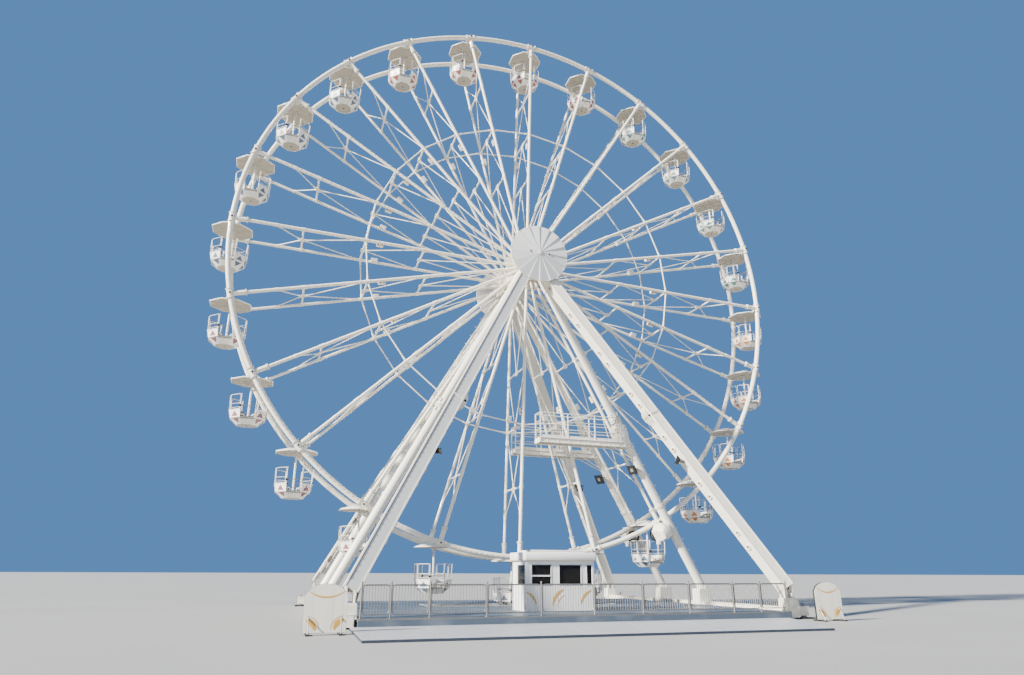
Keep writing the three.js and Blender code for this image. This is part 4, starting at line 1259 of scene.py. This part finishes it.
def drive_housing():
    """A domed housing of flat facets against the mast, with bolted seams."""
    shape = Shape()
    middle = vec(TYRE_AT.x, 0, TYRE_AT.z)

    def ring(y, scale):
        return [middle + (X * x + Z * z) * scale + Y * y for x, z in HOUSING]

    shape.skin([ring(*row) for row in (
        (HOUSING_INNER, 0.985), (HOUSING_INNER + 0.02, 1), (HOUSING_SHOULDER, 1),
        (HOUSING_OUTER - 0.02, HOUSING_TAPER + 0.02), (HOUSING_OUTER, HOUSING_TAPER - 0.04))])
    for y in (HOUSING_SHOULDER, HOUSING_INNER + 0.2):
        shape.path(ring(y, 0.995), 0.014, closed=True, hint=Y)
    seam = ring(HOUSING_SHOULDER, 0.97)
    for a, b in zip(seam, seam[1:] + seam[:1]):
        for share in (0.25, 0.75):
            at = lerp(a, b, share)
            shape.tube(at, at + Y * 0.035, 0.014, 1, 6, smooth=False)
    for k in range(5):
        shape.block(middle + vec(0.1, HOUSING_OUTER, k * 0.06 - 0.1), X * 0.1, Y * 0.005, Z * 0.012, 1)
    motor = middle + vec(-0.12, 1.62, -0.26)
    shape.tube(motor, motor - Z * 0.24, 0.13, 1, 20)
    return shape


def make_masts():
    pole, stand, bracket, wheel_tyre, housing = mast(), platform(), mast_bracket(), tyre(), drive_housing()
    for end, sy in ENDS:
        for hand, sx in HANDS:
            node = f"mast_{end}_{hand}"
            make(f"{node}_tube", pole.mirrored(sx, sy), "white steel", [node])
        node = f"platform_{end}"
        make(f"{node}_deck", stand.mirrored(1, sy), "white steel", [node])
        make(f"{node}_bracket", bracket.mirrored(1, sy), "white steel", [], 0.004)
        node = f"drive_{end}"
        make(f"{node}_tyre", wheel_tyre.mirrored(1, sy), "rubber steel black", [node])
        make(f"{node}_housing", housing.mirrored(1, sy), "cream grey", [], 0.008)


make_masts()


# Floodlights

def floodlight(shape, hold, reach, aim, half):
    """A black floodlight with a pale lens, on an arm that comes from its holder."""
    u, v, w = basis(aim, Z)
    head = hold + reach
    shape.skin([[head + w * out + (u * a + v * b) * size for a, b in ((-1, -1), (1, -1), (1, 1), (-1, 1))]
                for out, size in ((-0.14, half * 0.6), (0.0, half), (0.05, half))])
    shape.block(head + w * 0.052, u * half * 0.34, v * half * 0.34, w * 0.006, 1)
    for side in (-1, 1):
        cheek = head + v * side * (half + 0.015)
        shape.path([cheek, cheek - w * 0.2, head - w * 0.24], 0.014)
    shape.tube(hold, head - w * 0.23, 0.022, 0, 8)


def make_floodlights():
    shape = Shape()
    aim = vec(-0.80, -0.35, -0.50)
    for hold, reach, way, half in (
            (mast_at(6.70) * vec(1, -1, 1), vec(-0.56, -0.1, 0), aim, 0.24),
            (mast_at(6.66), vec(-0.62, -0.1, 0), aim, 0.25),
            (Leg(1, -1).at(6.44, -0.2), vec(-0.42, 0, 0.05), vec(-0.80, 0.45, 0.35), 0.19),
            (Leg(1, 1).at(6.5), vec(-0.05, -0.55, 0), aim, 0.23),
            (Leg(-1, -1).at(6.26, 0.2), vec(0.24, 0, 0), vec(0.6, -0.6, 0.2), 0.12)):
        floodlight(shape, hold, reach, way, half)
    make("floodlights", shape, "black dim_lens", [], 0.004)


make_floodlights()


# Ground frame

BEAM_X = 8.95
BEAM_HALF = 0.23
BEAM_END = 8.4
BEAM_TOP = 0.46
BEAM_FOOT = 0.06
JACK_X = 9.65
RAIL_Y = 2.2


def cross_beam():
    """A plated beam with pedestals for two legs and two masts, and a jack at each end."""
    shape = Shape()
    x0, x1 = BEAM_X - BEAM_HALF, BEAM_X + BEAM_HALF
    shape.boxes(
        0, (x0, -BEAM_END, BEAM_TOP - 0.035, x1, BEAM_END, BEAM_TOP),
        (x0, -BEAM_END, BEAM_FOOT, x1, BEAM_END, BEAM_FOOT + 0.035),
        (x0 + 0.03, 0.01 - BEAM_END, BEAM_FOOT + 0.02, x1 - 0.03, BEAM_END - 0.01, BEAM_TOP - 0.02))
    for y in spread(0.05 - BEAM_END, BEAM_END - 0.05, 21):
        shape.box(x0 + 0.004, y - 0.012, BEAM_FOOT + 0.03, x1 - 0.004, y + 0.012, BEAM_TOP - 0.03)
    for side in (-1, 1):
        y = side * LEG_FOOT.y
        shape.boxes(
            0, (x0 - 0.06, y - 0.26, 0.30, x1 + 0.06, y + 0.26, 0.76),
            (x0 - 0.065, y - 0.28, 0.30, x1 + 0.065, y - 0.26, 0.5),
            (x0 - 0.065, y + 0.26, 0.30, x1 + 0.065, y + 0.28, 0.5),
            (x1 - 0.05, y - 0.15, 0.12, 9.8, y + 0.15, 0.46),
            (x1, y - 0.17, 0.43, 9.82, y + 0.17, 0.475))
        shape.tube(vec(JACK_X, y, 0.05), vec(JACK_X, y, 0.30), 0.11, 1, 20)
        shape.tube(vec(JACK_X, y, 0.28), vec(JACK_X, y, 0.60), 0.045, 1, 16)
        shape.tube(vec(JACK_X, y - 0.16, 0.56), vec(JACK_X, y + 0.16, 0.56), 0.014, 1, 8)
        shape.box(JACK_X - 0.3, y - 0.30, 0, JACK_X + 0.3, y + 0.30, 0.06, 2)
        y_mast = side * MAST_Y
        shape.box(8.66, y_mast - 0.32, 0.30, 9.34, y_mast + 0.32, 0.98)
        for rib in (y_mast - 0.24, y_mast, y_mast + 0.24):
            shape.box(8.655, rib - 0.01, 0.31, 9.345, rib + 0.01, 0.955)
        for shoe in (y, side * RAIL_Y):
            shape.box(x0 + 0.03, shoe - 0.2, 0, x1 - 0.03, shoe + 0.2, 0.07, 2)
    return shape


def ground_rails():
    shape = Shape()
    reach = BEAM_X - BEAM_HALF - GAP
    for y in (-RAIL_Y, RAIL_Y):
        shape.boxes(
            0, (-reach, y - 0.15, 0.2, reach, y + 0.15, 0.2296), (-reach, y - 0.15, 0, reach, y + 0.15, 0.03),
            (0.01 - reach, y - 0.1, 0.02, reach - 0.01, y + 0.1, 0.21))
        for x in spread(0.3 - reach, reach - 0.3, 18):
            shape.box(x - 0.01, y - 0.148, 0.02, x + 0.01, y + 0.148, 0.21)
    shape.box(-0.2, -RAIL_Y, 0, 0.2, RAIL_Y, 0.055)
    return shape


def make_ground_frame():
    beam = cross_beam()
    for hand, side in reversed(HANDS):
        frame_shape = beam.mirrored(side, 1)
        node = f"base_beam_{hand}"
        make(f"{node}_frame", frame_shape, "cream steel black", [node], 0.006)
    make("ground_rails", ground_rails(), "cream", ["base_rails"], 0.004)


make_ground_frame()


# Deck, apron and fence

DECK_TOP = 0.32
DECK_HALF = 8.64
DECK_FRONT = -8.6
DECK_REAR = 5.6
DECK_ROWS = (DECK_FRONT + 0.12, -7.2, -5.4, -3.6, -2.3, -1.06, 1.06, 2.4, 4.0, DECK_REAR)
HALF_COLUMNS = 6
PLATE_WIDTH = DECK_HALF / HALF_COLUMNS
TROUGH_X = 4.6
TROUGH_Y = 1.06
SEAM = 0.006


def deck():
    """Chequer plates with seams round the trough, on a curb and bearers."""
    shape = Shape()
    half, inner = DECK_HALF, DECK_HALF - 0.01
    for i in range(-HALF_COLUMNS, HALF_COLUMNS):
        x = (i + 0.5) * PLATE_WIDTH
        reach = PLATE_WIDTH / 2 - SEAM
        for y0, y1 in zip(DECK_ROWS, DECK_ROWS[1:]):
            if y0 != -TROUGH_Y or abs(x) > TROUGH_X:
                shape.box(x - reach, y0 + SEAM, DECK_TOP - 0.03, x + reach, y1 - SEAM, DECK_TOP)
    for y0, y1 in ((DECK_FRONT, -TROUGH_Y), (TROUGH_Y, DECK_REAR)):
        shape.box(-inner, y0 + 0.01, 0.23, inner, y1 - 0.005, DECK_TOP - 0.032, 1)
    for x0, x1 in ((-inner, -TROUGH_X), (TROUGH_X, inner)):
        shape.box(x0, -TROUGH_Y - 0.02, 0.23, x1, TROUGH_Y + 0.02, DECK_TOP - 0.032, 1)
    for y in (-TROUGH_Y - 0.012, TROUGH_Y):
        shape.box(-TROUGH_X, y, 0.2, TROUGH_X, y + 0.012, DECK_TOP + 0.012, 1)
    for x in (-TROUGH_X - 0.012, TROUGH_X):
        shape.box(x, -TROUGH_Y, 0.2, x + 0.012, TROUGH_Y, DECK_TOP + 0.012, 1)
    shape.box(-half, DECK_FRONT, 0.0, half, DECK_FRONT + 0.11, DECK_TOP - 0.04)
    shape.box(-half, DECK_FRONT, DECK_TOP - 0.045, half, DECK_FRONT + 0.125, DECK_TOP + 0.004, 2)
    shape.box(-half, DECK_REAR - 0.12, 0.0, half, DECK_REAR, 0.31)
    for y in (-5.2, -3.2, 3.6):
        shape.box(0.04 - half, y - 0.06, 0.0, half - 0.04, y + 0.06, 0.31, 1)
    return shape


APRON = ((-8.9, -8.6), (8.5, -8.6), (6.3, -13.35), (-9.05, -13.0))
APRON_TOP = 0.08
APRON_PANELS = 7
PLATE_THICK = 0.014


def apron():
    """Ramp plates side by side on a dark base, with a narrow seam between them."""
    shape = Shape()
    back_left, back_right, front_right, front_left = (vec(x, y - GAP, 0) for x, y in APRON)
    seam = X * SEAM
    for i in range(APRON_PANELS):
        a, b = i / APRON_PANELS, (i + 1) / APRON_PANELS
        front = [lerp(front_left, front_right, share) + Y * SEAM for share in (a, b)]
        back = [lerp(back_left, back_right, share) for share in (a, b)]
        ring = [front[0] + seam, front[1] - seam, back[1] - seam, back[0] + seam]
        shape.sheet([p + Z * (APRON_TOP - PLATE_THICK) for p in ring], Z * PLATE_THICK)
    shape.sheet([front_left, front_right, back_right, back_left], Z * (APRON_TOP - 0.006), 1)
    return shape


FENCE_Y = -8.5
FENCE_POSTS = (-8.56, -7.58, -6.24, -4.21, -2.17, -0.07, 1.95, 3.97, 5.99, 7.28, 8.56)
FENCE_TOP = 1.40
FENCE_LOW = 0.45
BAR_STEP = 0.1
BALL = ((0.012, 0), (0.030, 0.008), (0.036, 0.026), (0.030, 0.046), (0.012, 0.056))


def fence():
    """Posts with ball tops, and between them hooped panels of thin bars."""
    shape = Shape()

    def at(x, z):
        return vec(x, FENCE_Y, z)

    for x in FENCE_POSTS:
        shape.tube(at(x, DECK_TOP), at(x, FENCE_TOP + 0.03), 0.028, 0, 12)
        shape.tube(at(x, DECK_TOP + GAP), at(x, DECK_TOP + 0.012), 0.07, 0, 16)
        shape.lathe(BALL, at(x, FENCE_TOP + 0.026), Z, 0, 12)
    for a, b in zip(FENCE_POSTS, FENCE_POSTS[1:]):
        left, right = a + 0.055, b - 0.055
        high = FENCE_TOP - 0.02
        hoop = [at(left, high), at(left, FENCE_LOW), at(right, FENCE_LOW), at(right, high)]
        shape.path(rounded(hoop, 0.12, 5, closed=True), 0.017, 0, 8, closed=True, hint=Y)
        shape.tube(at(a, FENCE_TOP - 0.04), at(b, FENCE_TOP - 0.04), 0.018, 0, 8)
        for x in spread(left, right, round((right - left) / BAR_STEP) + 1)[1:-1]:
            shape.tube(at(x, FENCE_LOW), at(x, FENCE_TOP - 0.04), 0.010, 0, 6)
    return shape


def make_deck():
    make("deck_plates", deck(), "deck grey steel", ["deck"], 0.003)
    make("apron_plates", apron(), "apron navy", ["apron"], 0.004)
    make("fence_panels", fence(), "steel", ["fence"])


make_deck()


# Operator's booth

BOOTH_LEFT = -1.84
BOOTH_RIGHT = 1.14
BOOTH_FRONT = -6.0
BOOTH_REAR = -4.4
BOOTH_TOP = 2.22
WALL = 0.07
SILL = 1.32
HEAD = 2.06
BAR_Z = 1.62
WINDOWS = ((-1.59, -0.77), (-0.40, 0.55), (0.82, 1.06))
SIDE_WINDOW = (BOOTH_FRONT + 0.15, BOOTH_FRONT + 1.05)
DOOR_X = (-1.0, -0.15)
DOOR_SILL = 0.38
CURTAIN_Y = BOOTH_FRONT + 1.38
CURTAIN_STEPS = 120
STRIPE_STEPS = 14
KNOBS = 6

# Gold curves on the front panel: centre, radius, width, first angle and sweep
BOOTH_SWEEPS = ((-2.02, 0.62, 0.11, 12, 62), (0.0, 0.72, 0.13, 108, 66), (0.0, 0.52, 0.05, 112, 62),
                (1.16, 0.66, 0.11, 104, 66))


def curved_stripe(shape, x, y, z, radius, width, start, sweep, finish):
    """A flat band along an arc that stands 4 mm off a panel to the front, with its angles in degrees."""
    rows = []
    for share in spread(0, 1, STRIPE_STEPS + 1):
        angle = radians(start + sweep * share)
        half = width * sin(pi * (0.12 + 0.8 * share)) / 2
        rows.append([vec(x, y + 0.002, z) + on_wheel(radius + reach, angle) for reach in (-half, half)])
    for (a, b), (c, d) in zip(rows, rows[1:]):
        shape.sheet([a, b, d, c], -Y * 0.006, finish)


def booth_walls():
    shape = Shape()
    foot = DECK_TOP + GAP
    left, right, front, rear, top = BOOTH_LEFT, BOOTH_RIGHT, BOOTH_FRONT, BOOTH_REAR, BOOTH_TOP
    front_in, rear_in = front + WALL, rear - WALL
    (side_start, side_end), (door_left, door_right) = SIDE_WINDOW, DOOR_X
    for x in (left, right - 0.09):
        for y in (front, rear - 0.09):
            shape.box(x - 0.004, y - 0.004, foot, x + 0.094, y + 0.094, top)
    shape.boxes(
        0, (left + 0.05, front, foot, right - 0.05, front_in, SILL),
        (left + 0.05, front, HEAD, right - 0.05, front_in, top),
        (left + 0.05, rear_in, foot, door_left, rear, top),
        (door_right, rear_in, foot, right - 0.05, rear, top),
        (door_left - 0.01, rear_in, HEAD, door_right + 0.01, rear, top),
        (door_left - 0.01, rear_in, foot, door_right + 0.01, rear, DOOR_SILL))
    edges = [left, *(edge for window in WINDOWS for edge in window), right]
    for a, b in zip(edges[::2], edges[1::2]):
        shape.box(a, front, SILL - 0.01, b, front_in, HEAD + 0.01)
    for x in (left, right - WALL):
        shape.boxes(
            0, (x, front + 0.05, foot, x + WALL, rear - 0.05, SILL),
            (x, front + 0.05, HEAD, x + WALL, rear - 0.05, top),
            (x, front + 0.05, SILL - 0.01, x + WALL, side_start, HEAD + 0.01),
            (x, side_end, SILL - 0.01, x + WALL, rear - 0.05, HEAD + 0.01))
    shape.box(left + WALL, front_in, foot, right - WALL, rear_in, foot + 0.02, 2)
    for x0, x1 in WINDOWS:
        for low, high in ((SILL - 0.035, SILL), (HEAD, HEAD + 0.03)):
            shape.box(x0 - 0.03, front - 0.012, low, x1 + 0.03, front + 0.02, high, 1)
        for edge in (x0 - 0.03, x1):
            shape.box(edge, front - 0.012, SILL - 0.035, edge + 0.03, front + 0.02, HEAD + 0.03, 1)
    x0, x1 = WINDOWS[0]
    shape.box(x0 - 0.01, front - 0.02, BAR_Z, x1 + 0.01, front + 0.02, BAR_Z + 0.055)
    for x, *arc in BOOTH_SWEEPS:
        curved_stripe(shape, x, front - 0.001, foot + 0.12, *arc, 4)
    return shape


def booth_glass():
    shape = Shape()
    for x0, x1 in WINDOWS:
        shape.box(x0, BOOTH_FRONT + 0.03, SILL, x1, BOOTH_FRONT + 0.038, HEAD)
    for x in (BOOTH_LEFT + 0.03, BOOTH_RIGHT - 0.038):
        shape.box(x, SIDE_WINDOW[0], SILL, x + 0.008, SIDE_WINDOW[1], HEAD)
    return shape


def booth_inside():
    """The desk on its legs, with a sloping console and its knobs."""
    shape = Shape()
    front = BOOTH_FRONT
    shape.box(BOOTH_LEFT + 0.2, front + 0.12, 1.08, BOOTH_RIGHT - 0.2, front + 0.72, 1.12)
    for x in (BOOTH_LEFT + 0.25, BOOTH_RIGHT - 0.3):
        shape.box(x, front + 0.2, DECK_TOP + 0.02, x + 0.05, front + 0.66, 1.08)
    shape.prism([(0, 0), (0.45, 0), (0.45, 0.2), (0, 0.08)], vec(-1.2, front + 0.2, 1.12), Y, Z, 0.9, 1)
    for k in range(KNOBS):
        at = vec(k * 0.13 - 1.05, front + 0.4, 1.235)
        shape.tube(at, at + vec(0, -0.005, 0.02), 0.022, 2, 12)
    return shape


def booth_curtain():
    """A dark folded sheet on a rod behind the windows."""
    shape = Shape()
    rings = []
    for k, x in enumerate(spread(BOOTH_LEFT + 0.12, BOOTH_RIGHT - 0.12, CURTAIN_STEPS + 1)):
        y = CURTAIN_Y + 0.025 * sin(k * 0.9) + 0.01 * sin(k * 0.37)
        rings.append([vec(x, y, 2.12), vec(x, y + 0.006, 2.12), vec(x, y + 0.006, 0.75), vec(x, y, 0.75)])
    shape.skin(rings, 0, True)
    shape.tube(*(vec(x, CURTAIN_Y, 2.14) for x in (BOOTH_LEFT + 0.07, BOOTH_RIGHT - 0.07)), 0.014, 1)
    return shape


ROOF_OVERHANG = 0.12
ROOF_EDGE = 0.33
ROOF_CORNER = 0.1
ROOF_BOX = (-1.55, -5.9, 0.76, -4.5)
ROOF_TOP = BOOTH_TOP + 0.42


def booth_roof():
    """A deep fascia with round corners, trimmed in gold, and a raised lid."""
    shape = Shape()
    foot = BOOTH_TOP + GAP

    def outline(inset, height):
        line = []
        reach = ROOF_OVERHANG - inset - ROOF_CORNER
        left, right, front, rear = (
            BOOTH_LEFT - reach, BOOTH_RIGHT + reach, BOOTH_FRONT - reach, BOOTH_REAR + reach)
        for x, y, start in ((right, rear, 0), (left, rear, 90), (left, front, 180), (right, front, 270)):
            for turn in range(0, 91, 18):
                angle = radians(start + turn)
                line.append(vec(x + cos(angle) * ROOF_CORNER, y + sin(angle) * ROOF_CORNER, foot + height))
        return line

    shape.skin([outline(*row) for row in (
        (0.02, 0), (0, 0.02), (0, ROOF_EDGE - 0.02), (0.02, ROOF_EDGE), (0.1, ROOF_EDGE))])
    shape.path(outline(0.004, 0.03), 0.01, 1, closed=True)
    x0, y0, x1, y1 = ROOF_BOX
    shape.box(x0, y0, foot + ROOF_EDGE - 0.02, x1, y1, ROOF_TOP)
    shape.box(x0 - 0.015, y0 - 0.015, ROOF_TOP - 0.03, x1 + 0.015, y1 + 0.015, ROOF_TOP - 0.008)
    return shape


def make_booth():
    make("booth_panels", booth_walls(), "booth grey deck steel gold", ["booth_walls"], 0.004)
    make("booth_windows", booth_glass(), "glass")
    make("booth_console", booth_inside(), "grey black lens", [], 0.004)
    make("booth_curtain", booth_curtain(), "fabric steel")
    make("booth_canopy", booth_roof(), "booth gold", ["booth_roof"], 0.006)


make_booth()


# Boards beside the deck

SIGN_HALF = 0.64
SIGN_SPRING = 1.12
SIGN_HEAD = 0.33
SIGN_THICK = 0.045
SIGNS = {"sign_left": (-9.82, -10.2), "sign_right": (9.6, -9.6)}

# Gold curves in the corners and under the head: x and z of the centre, radius, width, first angle, sweep
SIGN_CURVES = (
    (0.06 - SIGN_HALF, 0.12, 0.30, 0.15, 5, 80), (SIGN_HALF - 0.06, 0.12, 0.30, 0.15, 95, 80),
    (0.06 - SIGN_HALF, 0.12, 0.42, 0.025, 5, 80), (SIGN_HALF - 0.06, 0.12, 0.42, 0.025, 95, 80),
    (0, SIGN_SPRING + 0.82, 0.88, 0.05, 232, 76))


def sign_board():
    """An arched board in a dark frame, on feet, with plain gold curves."""
    shape = Shape()
    outline = [(-SIGN_HALF, 0.06), (SIGN_HALF, 0.06), (SIGN_HALF, SIGN_SPRING)]
    for angle in (radians(a) for a in spread(12, 168, 17)):
        outline.append((SIGN_HALF * 0.93 * cos(angle), SIGN_SPRING + SIGN_HEAD * sin(angle)))
    outline.append((-SIGN_HALF, SIGN_SPRING))
    shape.prism(outline, Y * SIGN_THICK, X, Z, SIGN_THICK * 2, 1)
    inner = [(x * 0.985, lerp(0.72, z, 0.985)) for x, z in outline]
    for y in (0.002 - SIGN_THICK, SIGN_THICK + 0.008):
        shape.prism(inner, Y * y, X, Z, 0.010)
    line = [vec(x, -SIGN_THICK - 0.004, z) for x, z in inner]
    shape.path(line, 0.006, closed=True, hint=Y)
    for x, z, *arc in SIGN_CURVES:
        curved_stripe(shape, x, -SIGN_THICK - 0.009, z, *arc, 2)
    for x in (0.16 - SIGN_HALF, SIGN_HALF - 0.16):
        shape.box(x - 0.06, -0.33, 0, x + 0.06, 0.33, 0.05, 1)
        for side in (-1, 1):
            shape.tube(vec(x, side * 0.29, 0.045), vec(x, side * 0.045, 0.5), 0.016, 3, 8)
    return shape


def make_signs():
    mesh = mesh_of("sign_board", sign_board(), "sign black gold steel")
    for name, (x, y) in SIGNS.items():
        place(f"{name}_board", mesh, "base", [name], Matrix.Translation((x, y, 0)), 0.003)


make_signs()
